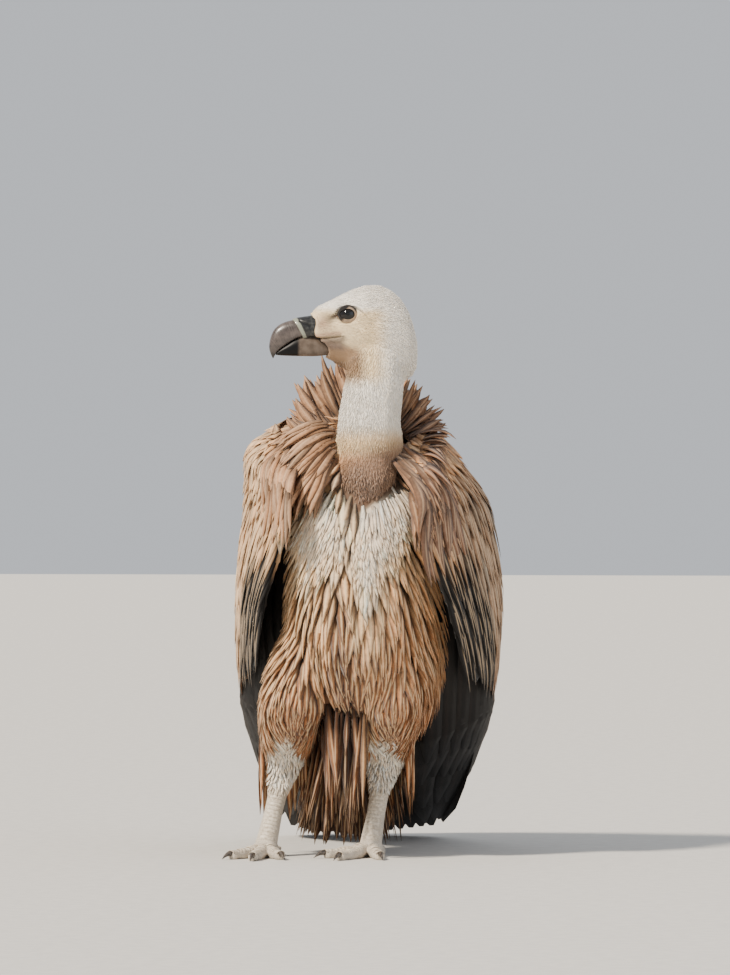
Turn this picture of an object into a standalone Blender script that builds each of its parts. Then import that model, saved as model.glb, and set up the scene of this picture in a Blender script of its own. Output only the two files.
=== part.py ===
"""Griffon vulture, life size, standing with folded wings and its head turned to its right.

Every named part of the bird is one closed solid: head, cere, bill, eyes, neck, crop, ruff, trunk,
wings, tail, legs, toes and claws. Metres, +Z up. The bird faces -Y and its left side is +X.
Most of it is drawn in "body space", symmetric about x = 0, and then leaned a little to its left.
"""
import math

import bmesh
import bpy
import numpy as np
from mathutils import Matrix, Vector

# ---- driving dimensions -------------------------------------------------------------------------
LEAN = math.radians(1.5)  # how far the body leans to its left
LEAN_SHIFT = 0.043       # the body stands this far to the left of the middle of its feet
SWAY = -0.020            # the shoulders swing back to the right, after the head
SWAY_FROM, SWAY_TO = 0.400, 0.480
TRAIL = -0.105           # the tail end swings to the right too, by this much of its reach behind
TRAIL_FROM = 0.040
GAP = 0.0003             # left between solids that touch

HEAD_AT = (0.065, -0.070, 0.6155)  # middle of the skull
HEAD_YAW = math.radians(-76.0)     # turned from -Y towards the bird's right
HEAD_PITCH = math.radians(-1.0)

EYE_RADIUS = 0.0105
EYE_FORWARD, EYE_UP, EYE_SIDE = 0.0300, 0.0083, 0.0188

NECK_PATH = ((0.058, -0.030, 0.425), (0.063, -0.070, 0.462), (0.0645, -0.088, 0.505),
             (0.070, -0.082, 0.548), (0.071, -0.066, 0.592))
NECK_RADII = (0.044, 0.042, 0.0375, 0.0355, 0.032)

CROP_AT = (0.060, -0.076, 0.437)
CROP_RADII = (0.041, 0.046, 0.053)

WING_SKIN = 0.013        # thickness of the layer of coverts
FLIGHT_SKIN = 0.009      # thickness of the folded flight feathers
WING_SPLIT = 0.20        # share of the wing's length that is shoulder
COVERT_END = 0.74        # where the coverts stop
PRIMARY_TIPS = 6
COVERT_TIPS = 7

TAIL_FEATHERS = 12
TAIL_LENGTH = 0.28
RUFF_TIPS = 11
RUFF_SHIFTS = (0.024, 0.014, 0.008)  # the neck, which the ruff's roots follow, stands left of the shoulders

TOE_RADIUS = 0.0068
CLAW_RADIUS = 0.0042


# ---- small tools --------------------------------------------------------------------------------
def through(points, count):
    """Places along a smooth curve through the points, evenly spaced in its parameter."""
    pts = np.array(points, float)
    last = len(pts) - 1
    padded = np.vstack([2 * pts[0] - pts[1], pts, 2 * pts[-1] - pts[-2]])
    found = []
    for t in np.linspace(0, last, count):
        i = min(int(t), last - 1)
        f = t - i
        a, b, c, d = padded[i:i + 4]
        found.append(b + 0.5 * f * (c - a + f * (2 * a - 5 * b + 4 * c - d + f * (3 * (b - c) + d - a))))
    return np.array(found)


def lean(point, share=1.0):
    """Takes a place from body space to where it is on the leaning bird."""
    x, y, z = point
    turn = LEAN * share
    swung = max(0.0, min(1.0, (z - SWAY_FROM) / (SWAY_TO - SWAY_FROM)))
    sway = SWAY * swung * swung * (3 - 2 * swung)
    trail = TRAIL * max(0.0, y - TRAIL_FROM)
    return Vector((x * math.cos(turn) + z * math.sin(turn) + LEAN_SHIFT + sway + trail, y,
                   z * math.cos(turn) - x * math.sin(turn)))


def head_place(forward, side, up):
    """Takes a place on the head, from the middle of the skull, to where the turned head has it."""
    turn = Matrix.Rotation(HEAD_YAW, 4, "Z") @ Matrix.Rotation(HEAD_PITCH, 4, "X")
    return Vector(HEAD_AT) + turn @ Vector((side, -forward, up))


def material(name, colour, roughness):
    """A plain Principled material, its colour given as linear red, green and blue."""
    made = bpy.data.materials.get(name) or bpy.data.materials.new(name)
    made.use_nodes = True
    shader = made.node_tree.nodes["Principled BSDF"]
    shader.inputs["Base Color"].default_value = (*colour, 1.0)
    shader.inputs["Roughness"].default_value = roughness
    shader.inputs["Metallic"].default_value = 0.0
    made.diffuse_color = (*colour, 1.0)
    return made


DOWN = ("down", (0.85, 0.79, 0.70), 0.9)
TAN = ("tan_feather", (0.52, 0.30, 0.17), 0.8)
DARK = ("dark_feather", (0.016, 0.013, 0.011), 0.6)
RUFF = ("ruff_feather", (0.45, 0.26, 0.16), 0.8)
HORN = ("horn", (0.14, 0.115, 0.10), 0.45)
CERE = ("cere_skin", (0.03, 0.03, 0.035), 0.5)
EYE = ("eye", (0.012, 0.006, 0.004), 0.1)
SCUTE = ("leg_scutes", (0.50, 0.45, 0.38), 0.7)
CLAW = ("claw_horn", (0.05, 0.045, 0.04), 0.4)


def new_object(name, mesh, look):
    made = bpy.data.objects.new(name, mesh)
    mesh.materials.clear()
    mesh.materials.append(material(*look))
    bird.objects.link(made)
    return made


def from_rings(name, rings, look):
    """A closed body lofted through rings of equally many points, each end closed by one face."""
    bm = bmesh.new()
    loops = [[bm.verts.new(p) for p in ring] for ring in rings]
    for low, high in zip(loops, loops[1:]):
        for i, corner in enumerate(low):
            after = (i + 1) % len(low)
            bm.faces.new((corner, low[after], high[after], high[i]))
    bm.faces.new(loops[0][::-1])
    bm.faces.new(loops[-1])
    bmesh.ops.triangulate(bm, faces=bm.faces[:])
    return finished(name, bm, look)


def finished(name, bm, look):
    """Turns a closed bmesh, its faces made to point outwards, into a named object."""
    bmesh.ops.recalc_face_normals(bm, faces=bm.faces[:])
    if bm.calc_volume(signed=True) < 0:
        bmesh.ops.reverse_faces(bm, faces=bm.faces[:])
    mesh = bpy.data.meshes.new(name)
    bm.to_mesh(mesh)
    bm.free()
    mesh.shade_smooth()
    mesh.set_sharp_from_angle(angle=math.radians(50))
    return new_object(name, mesh, look)


def oval(middle, across, along, width, depth, sides, square=2.0):
    """A ring of points round a middle; square above 2 fills out its corners."""
    ring = []
    for i in range(sides):
        turn = 2 * math.pi * (i + 0.5) / sides
        c, s = math.cos(turn), math.sin(turn)
        c = math.copysign(abs(c) ** (2 / square), c)
        s = math.copysign(abs(s) ** (2 / square), s)
        ring.append(middle + across * (width * c) + along * (depth * s))
    return ring


def tube(name, path, radii, look, sides=10, place=lean):
    """A tapering round limb along a smooth path, as a bevelled curve with its ends filled."""
    curve = bpy.data.curves.new(name, "CURVE")
    curve.dimensions = "3D"
    curve.bevel_depth = 1.0
    curve.bevel_resolution = max(1, (sides - 4) // 2)
    curve.use_fill_caps = True
    spline = curve.splines.new("POLY")
    spline.points.add(len(path) - 1)
    for point, at, radius in zip(spline.points, path, radii):
        point.co = (*place(at), 1.0)
        point.radius = radius
    guide = bpy.data.objects.new(name + "_path", curve)
    bird.objects.link(guide)
    seen = guide.evaluated_get(bpy.context.evaluated_depsgraph_get())
    bm = bmesh.new()
    bm.from_mesh(bpy.data.meshes.new_from_object(seen))
    bmesh.ops.remove_doubles(bm, verts=bm.verts[:], dist=0.00001)
    bmesh.ops.triangulate(bm, faces=bm.faces[:])
    bpy.data.objects.remove(guide)
    bpy.data.curves.remove(curve)
    return finished(name, bm, look)


def feather_sheet(name, rows, thick, look):
    """An open sheet of points made solid. thick gives each row's thickness, under the sheet."""
    bm = bmesh.new()
    points = [[bm.verts.new(p) for p in row] for row in rows]
    bm.verts.index_update()
    for low, high in zip(points, points[1:]):
        for i in range(len(low) - 1):
            bm.faces.new((low[i], low[i + 1], high[i + 1], high[i]))
    mesh = bpy.data.meshes.new(name)
    bm.to_mesh(mesh)
    bm.free()
    sheet = new_object(name, mesh, look)
    group = sheet.vertex_groups.new(name="thickness")
    most = max(thick)
    width = len(rows[0])
    for i, depth in enumerate(thick):
        group.add(range(i * width, (i + 1) * width), depth / most, "REPLACE")
    solid = sheet.modifiers.new("solid", "SOLIDIFY")
    solid.thickness = most
    solid.offset = -1
    solid.vertex_group = "thickness"
    apply_modifiers(sheet)
    return sheet


def apply_modifiers(piece):
    """Replaces a piece's mesh with what its modifiers make of it, in triangles."""
    seen = piece.evaluated_get(bpy.context.evaluated_depsgraph_get())
    mesh = bpy.data.meshes.new_from_object(seen)
    piece.modifiers.clear()
    bm = bmesh.new()
    bm.from_mesh(mesh)
    bmesh.ops.remove_doubles(bm, verts=bm.verts[:], dist=0.000002)
    bmesh.ops.triangulate(bm, faces=bm.faces[:])
    keep_largest(bm)
    bmesh.ops.recalc_face_normals(bm, faces=bm.faces[:])
    if bm.calc_volume(signed=True) < 0:
        bmesh.ops.reverse_faces(bm, faces=bm.faces[:])
    bm.to_mesh(mesh)
    bm.free()
    mesh.name = piece.name
    piece.data = mesh


def keep_largest(bm):
    """Drops the crumbs that a cut leaves, and keeps the body with the most corners."""
    bm.verts.ensure_lookup_table()
    left = set(bm.verts)
    bodies = []
    while left:
        front = [left.pop()]
        body = list(front)
        while front:
            for edge in front.pop().link_edges:
                for other in edge.verts:
                    if other in left:
                        left.remove(other)
                        front.append(other)
                        body.append(other)
        bodies.append(body)
    for body in sorted(bodies, key=len)[:-1]:
        bmesh.ops.delete(bm, geom=body, context="VERTS")


def carve(name, neighbours):
    """Cuts from a piece the room that its neighbours' whole shapes take, with the gap round them."""
    piece = bird.objects[name]
    for neighbour in neighbours:
        mesh = whole[neighbour].copy()
        swell(mesh, GAP)
        cutter = bpy.data.objects.new(neighbour + "_cutter", mesh)
        cutter.hide_render = True
        cutter.display_type = "WIRE"
        cutters.objects.link(cutter)
        cut = piece.modifiers.new("cut", "BOOLEAN")
        cut.operation = "DIFFERENCE"
        cut.solver = "EXACT"
        cut.object = cutter
        apply_modifiers(piece)
        bpy.data.objects.remove(cutter)


def swell(mesh, amount):
    """Moves every corner outwards so that each face near it moves by at least the amount."""
    bm = bmesh.new()
    bm.from_mesh(mesh)
    bm.normal_update()
    moves = []
    for corner in bm.verts:
        least = min(max(corner.normal.dot(face.normal), 0.35) for face in corner.link_faces)
        moves.append(corner.normal * (amount / least))
    for corner, move in zip(bm.verts, moves):
        corner.co += move
    bm.to_mesh(mesh)
    bm.free()


def cut_at_floor(piece, level=0.0):
    """Leaves a flat underside where a piece reaches the floor."""
    bm = bmesh.new()
    bm.from_mesh(piece.data)
    cut = bmesh.ops.bisect_plane(bm, geom=bm.verts[:] + bm.edges[:] + bm.faces[:], dist=1e-7,
                                 plane_co=(0, 0, level), plane_no=(0, 0, -1), clear_outer=True)
    rim = [item for item in cut["geom_cut"] if isinstance(item, bmesh.types.BMEdge)]
    bmesh.ops.holes_fill(bm, edges=rim)
    bmesh.ops.triangulate(bm, faces=bm.faces[:])
    bmesh.ops.recalc_face_normals(bm, faces=bm.faces[:])
    bm.to_mesh(piece.data)
    bm.free()


# ---- head, cere, bill, eyes ---------------------------------------------------------------------
def head_rings(stations, count, sides, square=2.0):
    """Rings across the head: each station is forward, top, bottom, half width, in metres."""
    rings = []
    across = head_place(0, 1, 0) - head_place(0, 0, 0)
    upward = head_place(0, 0, 1) - head_place(0, 0, 0)
    for forward, top, bottom, width in through(stations, count):
        middle = head_place(forward, 0, (top + bottom) / 2)
        rings.append(oval(middle, across, upward, width, (top - bottom) / 2, sides, square))
    return rings


def make_head():
    """The feathered skull, from the cere's edge over a flat crown to the full nape."""
    stations = ((0.0665, 0.0075, -0.020, 0.0125), (0.058, 0.0170, -0.034, 0.0165),
                (0.046, 0.0265, -0.0455, 0.0215), (0.030, 0.0350, -0.0530, 0.0275),
                (0.012, 0.0425, -0.0590, 0.0325), (-0.008, 0.0440, -0.0640, 0.0345),
                (-0.024, 0.0365, -0.0660, 0.0335), (-0.037, 0.0235, -0.0660, 0.0295),
                (-0.046, 0.0040, -0.0620, 0.0230), (-0.0525, -0.0200, -0.0520, 0.0120))
    return from_rings("head", head_rings(stations, 12, 16), DOWN)


def make_cere():
    """The bare skin over the base of the bill, with the nostrils."""
    stations = ((0.0895, 0.0020, -0.0200, 0.0118), (0.079, 0.0040, -0.0190, 0.0128),
                (0.071, 0.0055, -0.0185, 0.0132), (0.060, 0.0080, -0.0180, 0.0135))
    return from_rings("cere", head_rings(stations, 4, 12, 2.2), CERE)


def make_bill_upper():
    """The hooked upper bill: rings that turn with the culmen's curve down to the tip."""
    culmen = ((0.066, 0.0040), (0.0860, 0.0018), (0.0965, -0.0002), (0.1055, -0.0042), (0.1125, -0.0110),
              (0.1163, -0.0205), (0.1175, -0.0300), (0.1160, -0.0370), (0.1130, -0.0432))
    edge = ((0.066, -0.0180), (0.0800, -0.0192), (0.0885, -0.0225), (0.0960, -0.0268), (0.1010, -0.0300),
            (0.1055, -0.0332), (0.1085, -0.0362), (0.1105, -0.0395), (0.1124, -0.0428))
    widths = (0.0118, 0.0112, 0.0100, 0.0090, 0.0078, 0.0063, 0.0045, 0.0026, 0.0007)
    across = head_place(0, 1, 0) - head_place(0, 0, 0)
    rings = []
    tops, bottoms = through(culmen, 11), through(edge, 11)
    for top, bottom, width in zip(tops, bottoms, through([(w,) for w in widths], 11)):
        high = head_place(top[0], 0, top[1])
        low = head_place(bottom[0], 0, bottom[1])
        rings.append(oval((high + low) / 2, across, (high - low).normalized(),
                          max(float(width[0]), 0.0006), (high - low).length / 2, 10, 2.3))
    return from_rings("bill_upper", rings, HORN)


def make_bill_lower():
    """The lower bill, a trough that fits inside the upper one's edge and runs back to the gape."""
    stations = ((0.1045, -0.0300, -0.0362, 0.0050), (0.098, -0.0235, -0.0375, 0.0072),
                (0.088, -0.0165, -0.0378, 0.0092), (0.076, -0.0130, -0.0390, 0.0106),
                (0.062, -0.0130, -0.0405, 0.0122), (0.046, -0.0165, -0.0385, 0.0142))
    return from_rings("bill_lower", head_rings(stations, 7, 10, 2.4), HORN)


def make_eye(name, side):
    bpy.ops.mesh.primitive_uv_sphere_add(segments=14, ring_count=9, radius=EYE_RADIUS)
    ball = bpy.context.object
    mesh = ball.data
    bpy.data.objects.remove(ball)
    at = head_place(EYE_FORWARD, side * EYE_SIDE, EYE_UP)
    mesh.transform(Matrix.Translation(at))
    bm = bmesh.new()
    bm.from_mesh(mesh)
    bmesh.ops.triangulate(bm, faces=bm.faces[:])
    bm.to_mesh(mesh)
    bm.free()
    mesh.name = name
    mesh.shade_smooth()
    return new_object(name, mesh, EYE)


# ---- neck, crop, ruff ---------------------------------------------------------------------------
def make_neck():
    count = 9
    path = through(NECK_PATH, count)
    radii = through([(r,) for r in NECK_RADII], count)[:, 0]
    return tube("neck", path, radii, DOWN, sides=12, place=Vector)


def make_crop():
    bpy.ops.mesh.primitive_uv_sphere_add(segments=12, ring_count=8, radius=1.0)
    ball = bpy.context.object
    mesh = ball.data
    bpy.data.objects.remove(ball)
    for corner in mesh.vertices:
        corner.co = [c + r * v for c, r, v in zip(CROP_AT, CROP_RADII, corner.co)]
    bm = bmesh.new()
    bm.from_mesh(mesh)
    bmesh.ops.triangulate(bm, faces=bm.faces[:])
    return finished("crop", bm, DOWN)


def make_ruff():
    """The collar of lance-shaped feathers: up behind the neck, out over the shoulders, open in front."""
    roots = ((-0.036, -0.103, 0.415), (-0.050, -0.078, 0.445), (-0.047, -0.040, 0.478),
             (-0.026, -0.008, 0.498), (0.0, 0.002, 0.503), (0.026, -0.008, 0.498),
             (0.047, -0.040, 0.478), (0.050, -0.078, 0.445), (0.036, -0.103, 0.415))
    mids = ((-0.058, -0.128, 0.400), (-0.078, -0.098, 0.448), (-0.070, -0.030, 0.498),
            (-0.042, 0.016, 0.534), (0.0, 0.030, 0.540), (0.050, 0.016, 0.524),
            (0.080, -0.030, 0.490), (0.080, -0.098, 0.445), (0.058, -0.128, 0.400))
    tips = ((-0.078, -0.146, 0.362), (-0.098, -0.118, 0.420), (-0.084, -0.020, 0.521),
            (-0.052, 0.028, 0.574), (0.008, 0.044, 0.574), (0.068, 0.028, 0.553),
            (0.106, -0.020, 0.500), (0.102, -0.118, 0.412), (0.078, -0.146, 0.362))
    columns = 2 * RUFF_TIPS + 1
    lines = [through(line, columns) for line in (roots, mids, tips)]
    rows = []
    shares = (0.0, 1.0, 1.5, 2.0)
    for share in shares:
        row = []
        for i in range(columns):
            reach = share
            if share > 1.0 and i % 2 == 0:
                reach = 1.0 + (share - 1.0) * 0.62
            low = int(min(reach, 1.0))
            f = reach - low
            at = lines[low][i] * (1 - f) + lines[low + 1][i] * f
            at[0] += RUFF_SHIFTS[low] * (1 - f) + RUFF_SHIFTS[low + 1] * f
            row.append(lean(at))
        rows.append(row)
    return feather_sheet("ruff", rows, (0.012, 0.011, 0.006, 0.002), RUFF)


# ---- trunk, belly feathers, tail ----------------------------------------------------------------
def make_trunk():
    """Breast, belly, back and rump, as level slices: height, front, back, half width."""
    stations = ((0.505, -0.062, 0.018, 0.036), (0.480, -0.092, 0.052, 0.060), (0.440, -0.112, 0.092, 0.080),
                (0.390, -0.128, 0.132, 0.090), (0.335, -0.142, 0.172, 0.092), (0.280, -0.148, 0.208, 0.091),
                (0.230, -0.140, 0.240, 0.088), (0.185, -0.110, 0.262, 0.080), (0.150, -0.050, 0.272, 0.068),
                (0.125, 0.015, 0.270, 0.050))
    rings = []
    for height, front, back, width in through(stations, 11):
        middle = Vector((0, (front + back) / 2, height))
        ring = oval(middle, Vector((1, 0, 0)), Vector((0, 1, 0)), width, (back - front) / 2, 16, 2.3)
        rings.append([lean(p) for p in ring])
    return from_rings("trunk", rings, TAN)


def make_vent():
    """The long soft feathers that hang behind the legs, from the belly to just above the floor."""
    stations = ((0.044, 0.020, 0.190, 0.052, 0.050), (0.036, 0.035, 0.150, 0.050, 0.048),
                (0.026, 0.052, 0.110, 0.046, 0.040), (0.014, 0.070, 0.070, 0.041, 0.030),
                (0.003, 0.084, 0.018, 0.025, 0.010))
    rings = []
    for x, y, z, width, depth in through(stations, 5):
        rings.append(oval(Vector((x, y, z)), Vector((1, 0, 0)), Vector((0, 1, 0)), width, depth, 12, 2.2))
    return from_rings("vent", rings, TAN)


def make_tail():
    """Twelve stiff feathers in a shallow fan, the tip laid on the floor."""
    columns = 2 * TAIL_FEATHERS + 1
    rows = []
    slope = math.radians(38.0)
    for along in (0.0, 0.86, 1.0):
        row = []
        for i in range(columns):
            across = 2 * i / (columns - 1) - 1
            reach = along
            if along > 0.86 and i % 2 == 0:
                reach = 0.86 + (along - 0.86) * 0.5
            reach *= 1.0 - 0.05 * across * across
            half = 0.036 + 0.042 * along
            run = reach * TAIL_LENGTH
            sag = 0.010 * across * across * (1 - along)
            row.append(lean((half * across, 0.196 + run * math.cos(slope),
                             0.1765 - run * math.sin(slope) - sag), 0.0))
        rows.append(row)
    return feather_sheet("tail", rows, (0.016, 0.007, 0.005), DARK)


# ---- wings --------------------------------------------------------------------------------------
# the folded wing's front edge, its widest line and its back edge, then the flight feathers' own front edge
FORE = ((0.056, -0.088, 0.468), (0.081, -0.122, 0.425), (0.088, -0.128, 0.360), (0.110, -0.100, 0.285),
        (0.120, -0.030, 0.208), (0.117, 0.075, 0.133), (0.108, 0.200, 0.070), (0.092, 0.370, 0.013))
SIDE = ((0.086, -0.025, 0.496), (0.1240, -0.015, 0.463), (0.1450, 0.006, 0.395), (0.1555, 0.045, 0.305),
        (0.1535, 0.095, 0.228), (0.144, 0.160, 0.157), (0.128, 0.250, 0.090), (0.101, 0.385, 0.021))
REAR = ((0.020, 0.030, 0.508), (0.012, 0.092, 0.486), (0.010, 0.150, 0.432), (0.010, 0.205, 0.366),
        (0.011, 0.262, 0.290), (0.016, 0.315, 0.210), (0.032, 0.362, 0.125), (0.074, 0.412, 0.030))
TUCK = ((0.056, -0.070, 0.448), (0.086, -0.085, 0.405), (0.095, -0.075, 0.345), (0.100, -0.030, 0.268),
        (0.093, 0.040, 0.190), (0.084, 0.120, 0.120), (0.076, 0.225, 0.062), (0.078, 0.370, 0.013))


def wing_place(along, across, inset=0.0, front=FORE):
    """A place on the folded wing: along from shoulder to tip, across from front edge to back."""
    at = along * (len(FORE) - 1)
    i = min(int(at), len(FORE) - 2)
    f = at - i
    spots = []
    for line in (front, SIDE, REAR):
        pts = np.array(line)
        padded = np.vstack([2 * pts[0] - pts[1], pts, 2 * pts[-1] - pts[-2]])
        a, b, c, d = padded[i:i + 4]
        spots.append(b + 0.5 * f * (c - a + f * (2 * a - 5 * b + 4 * c - d + f * (3 * (b - c) + d - a))))
    fore, side, rear = spots
    # a bowed section: the fore edge, the side and the rear edge are met at 0, 0.42 and 1
    knee = 0.42
    if across < knee:
        t = across / knee
        bow = fore * 0.25 + side * 0.75 + np.array((0.006, -0.012, 0.0))
        at = fore * (1 - t) ** 2 + bow * 2 * t * (1 - t) + side * t * t
    else:
        t = (across - knee) / (1 - knee)
        bow = side * 0.55 + rear * 0.45 + np.array((0.030, 0.026, 0.012)) * min(1.0, 1.6 * (1 - along))
        at = side * (1 - t) ** 2 + bow * 2 * t * (1 - t) + rear * t * t
    inward = np.array((-1.0, -0.35 * across, -0.25 * across))
    return at + inward * inset


def make_wing(word, side):
    """Shoulder, coverts and flight feathers of one folded wing, as three bowed shells."""
    def place(*spot):
        x, y, z = wing_place(*spot)
        return lean((x * side, y, z))

    order = -1 if side > 0 else 1

    columns = 12
    rows = []
    for along in (0.0, 0.06, 0.13, WING_SPLIT):
        rows.append([place(along, i / (columns - 1)) for i in range(columns)][::order])
    feather_sheet("wing_shoulder_" + word, rows, (0.008, 0.013, 0.015, WING_SKIN), TAN)

    columns = 2 * COVERT_TIPS + 1
    rows = []
    start = WING_SPLIT + 0.0006
    for share in (0.0, 0.27, 0.54, 0.8, 1.0):
        row = []
        for i in range(columns):
            across = i / (columns - 1)
            end = COVERT_END - 0.16 * (1 - across) ** 1.5
            reach = share * end + (1 - share) * start
            if share > 0.8 and i % 2 == 0:
                reach -= 0.030 * (share - 0.8) / 0.2
            row.append(place(reach, across))
        rows.append(row[::order])
    feather_sheet("wing_coverts_" + word, rows, (WING_SKIN, WING_SKIN, 0.011, 0.008, 0.003), TAN)

    columns = 2 * PRIMARY_TIPS + 1
    rows = []
    for share in (0.0, 0.24, 0.48, 0.66, 0.83, 1.0):
        row = []
        for i in range(columns):
            across = i / (columns - 1)
            reach = 0.27 + share * (1.0 - 0.27)
            if share > 0.66 and i % 2 == 0:
                reach -= 0.05 * (share - 0.66) / 0.34
            inset = 0.0145 * max(0.0, min(1.0, (COVERT_END - 0.04 - reach) / 0.10))
            row.append(place(reach, 0.98 * across, inset, TUCK))
        rows.append(row[::order])
    thick = (FLIGHT_SKIN, FLIGHT_SKIN, FLIGHT_SKIN, 0.008, 0.006, 0.004)
    feather_sheet("wing_flight_" + word, rows, thick, DARK)


# ---- legs ---------------------------------------------------------------------------------------
# for each side: feathered hip and knee, hock and foot, the way the middle toe points, how far toes spread
LEGS = {
    "right": {"hip": (-0.003, -0.040, 0.262), "knee": (-0.021, -0.060, 0.190), "hock": (-0.042, 0.000, 0.113),
              "foot": (-0.062, -0.026, 0.013), "toes": math.radians(-4.0), "spread": 0.80},
    "left": {"hip": (0.096, -0.040, 0.262), "knee": (0.087, -0.056, 0.190), "hock": (0.073, 0.010, 0.113),
             "foot": (0.058, -0.012, 0.013), "toes": math.radians(-20.0), "spread": 1.0},
}
# each toe: its turn from the middle one, and its length
TOES = {"inner": (math.radians(34.0), 0.047), "middle": (0.0, 0.068),
        "outer": (math.radians(-36.0), 0.050), "hind": (math.radians(172.0), 0.028)}


def make_thigh(word, leg):
    """The feather trousers, wide at the hip and closing round the hock."""
    hip, knee, hock, foot = (Vector(leg[k]) for k in ("hip", "knee", "hock", "foot"))
    low = hock.lerp(foot, 0.36)
    shank = knee.lerp(hock, 0.6) + Vector((0, -0.012, 0.004))
    path = through([hip, knee, shank, hock, low], 8)
    widths = through([(0.036,), (0.0420,), (0.0320,), (0.0240,), (0.0135,)], 8)[:, 0]
    depths = through([(0.060,), (0.0560,), (0.0380,), (0.0250,), (0.0145,)], 8)[:, 0]
    rings = []
    for at, width, depth in zip(path, widths, depths):
        rings.append(oval(Vector(at), Vector((1, 0, 0)), Vector((0, 1, 0.25)).normalized(), width, depth, 12))
    return from_rings("thigh_" + word, rings, TAN)


def make_tarsus(word, leg):
    hock, foot = Vector(leg["hock"]), Vector(leg["foot"])
    path = [hock.lerp(foot, t) for t in (0.20, 0.4, 0.62, 0.82, 0.95, 1.06)]
    radii = (0.0125, 0.0108, 0.0102, 0.0104, 0.0122, 0.0118)
    tarsus = tube("tarsus_" + word, path, radii, SCUTE, sides=10, place=Vector)
    cut_at_floor(tarsus)
    return tarsus


def make_foot(word, leg):
    """Four toes that lie on the floor, each with its claw."""
    side = 1 if word == "left" else -1
    foot = Vector(leg["foot"])
    for toe, (turn, length) in TOES.items():
        spread = leg["spread"] if toe != "hind" else 1.0
        heading = leg["toes"] - side * turn * spread
        ahead = Vector((math.sin(heading), -math.cos(heading), 0))
        rest = TOE_RADIUS * 0.86
        start = Vector((foot.x, foot.y, 0)) + ahead * 0.0115
        path, radii = [], []
        steps = 5
        for i in range(steps):
            t = i / (steps - 1)
            knuckle = 1.0 + 0.10 * math.cos(2 * math.pi * t * (2 if toe == "hind" else 3))
            radius = TOE_RADIUS * (1.08 - 0.30 * t) * knuckle
            height = rest * (1.0 - 0.22 * t) + 0.004 * (1 - t) ** 3
            path.append(start + ahead * (length * t) + Vector((0, 0, height)))
            radii.append(radius)
        name = "toe_%s_%s" % (toe, word)
        solid = tube(name, path, radii, SCUTE, sides=6, place=Vector)
        cut_at_floor(solid)

        root = start + ahead * (length - 0.003)
        claw_length = 0.017 if toe == "hind" else 0.021
        path, radii = [], []
        for i in range(5):
            t = i / 4
            bend = 0.0058 + 0.0016 * math.sin(math.pi * t) - 0.0046 * t * t
            path.append(root + ahead * (claw_length * t) + Vector((0, 0, bend)))
            radii.append(max(CLAW_RADIUS * (1 - t) ** 0.7, 0.0006))
        claw = tube("claw_%s_%s" % (toe, word), path, radii, CLAW, sides=6, place=Vector)
        cut_at_floor(claw)


# ---- assembly -----------------------------------------------------------------------------------
for old in list(bpy.data.objects):
    bpy.data.objects.remove(old)
bird = bpy.data.collections.new("griffon_vulture")
cutters = bpy.data.collections.new("cutters")
bpy.context.scene.collection.children.link(bird)
bpy.context.scene.collection.children.link(cutters)

make_eye("eye_left", 1)
make_eye("eye_right", -1)
make_bill_upper()
make_bill_lower()
make_cere()
make_head()
make_neck()
make_crop()
make_ruff()
make_trunk()
make_vent()
cut_at_floor(make_tail())
make_wing("left", 1)
make_wing("right", -1)
for word, leg in LEGS.items():
    make_thigh(word, leg)
    make_tarsus(word, leg)
    make_foot(word, leg)

whole = {piece.name: piece.data for piece in bird.objects}
carve("bill_lower", ["bill_upper"])
carve("cere", ["bill_upper", "bill_lower"])
carve("head", ["cere", "bill_upper", "bill_lower", "eye_left", "eye_right"])
carve("neck", ["head"])
carve("crop", ["neck"])
carve("trunk", ["neck", "crop"])
carve("ruff", ["head", "neck", "crop", "trunk"])
carve("tail", ["trunk"])
wing_names = []
for word in LEGS:
    shoulder, coverts, flight = ["wing_%s_%s" % (layer, word) for layer in ("shoulder", "coverts", "flight")]
    carve(shoulder, ["trunk", "ruff"])
    carve(coverts, ["trunk", "ruff", shoulder] + wing_names)
    carve(flight, ["trunk", "ruff", "tail", shoulder, coverts] + wing_names)
    wing_names += [shoulder, coverts, flight]
    done = ["tarsus_" + word]
    for toe in TOES:
        claw = "claw_%s_%s" % (toe, word)
        carve("toe_%s_%s" % (toe, word), done + [claw])
        done.append("toe_%s_%s" % (toe, word))
    carve("thigh_" + word, ["tarsus_" + word, "trunk", shoulder, coverts, flight])
carve("vent", ["trunk", "tail", "thigh_left", "thigh_right"] + wing_names)

# the origin is the middle of the underside of the whole bird's box
corners = [corner.co for piece in bird.objects for corner in piece.data.vertices]
lowest = [min(c[i] for c in corners) for i in range(3)]
highest = [max(c[i] for c in corners) for i in range(3)]
home = Matrix.Translation((-(lowest[0] + highest[0]) / 2, -(lowest[1] + highest[1]) / 2, -lowest[2]))
for piece in bird.objects:
    piece.data.transform(home)
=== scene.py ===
"""Griffon vulture, life size: the looks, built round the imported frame.

The bird faces -Y, its left side is +X, and all measures are metres. It is put together as a
taxidermist works: the skin first, then eyes, bill, legs and claws, then the feathers from the tail
forward, so that each row lies over the roots of the one behind it, and last the down of the head.
"""
import math
from itertools import product

import bmesh
import bpy
import numpy as np
from mathutils import Matrix, Vector
from mathutils.bvhtree import BVHTree


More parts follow.
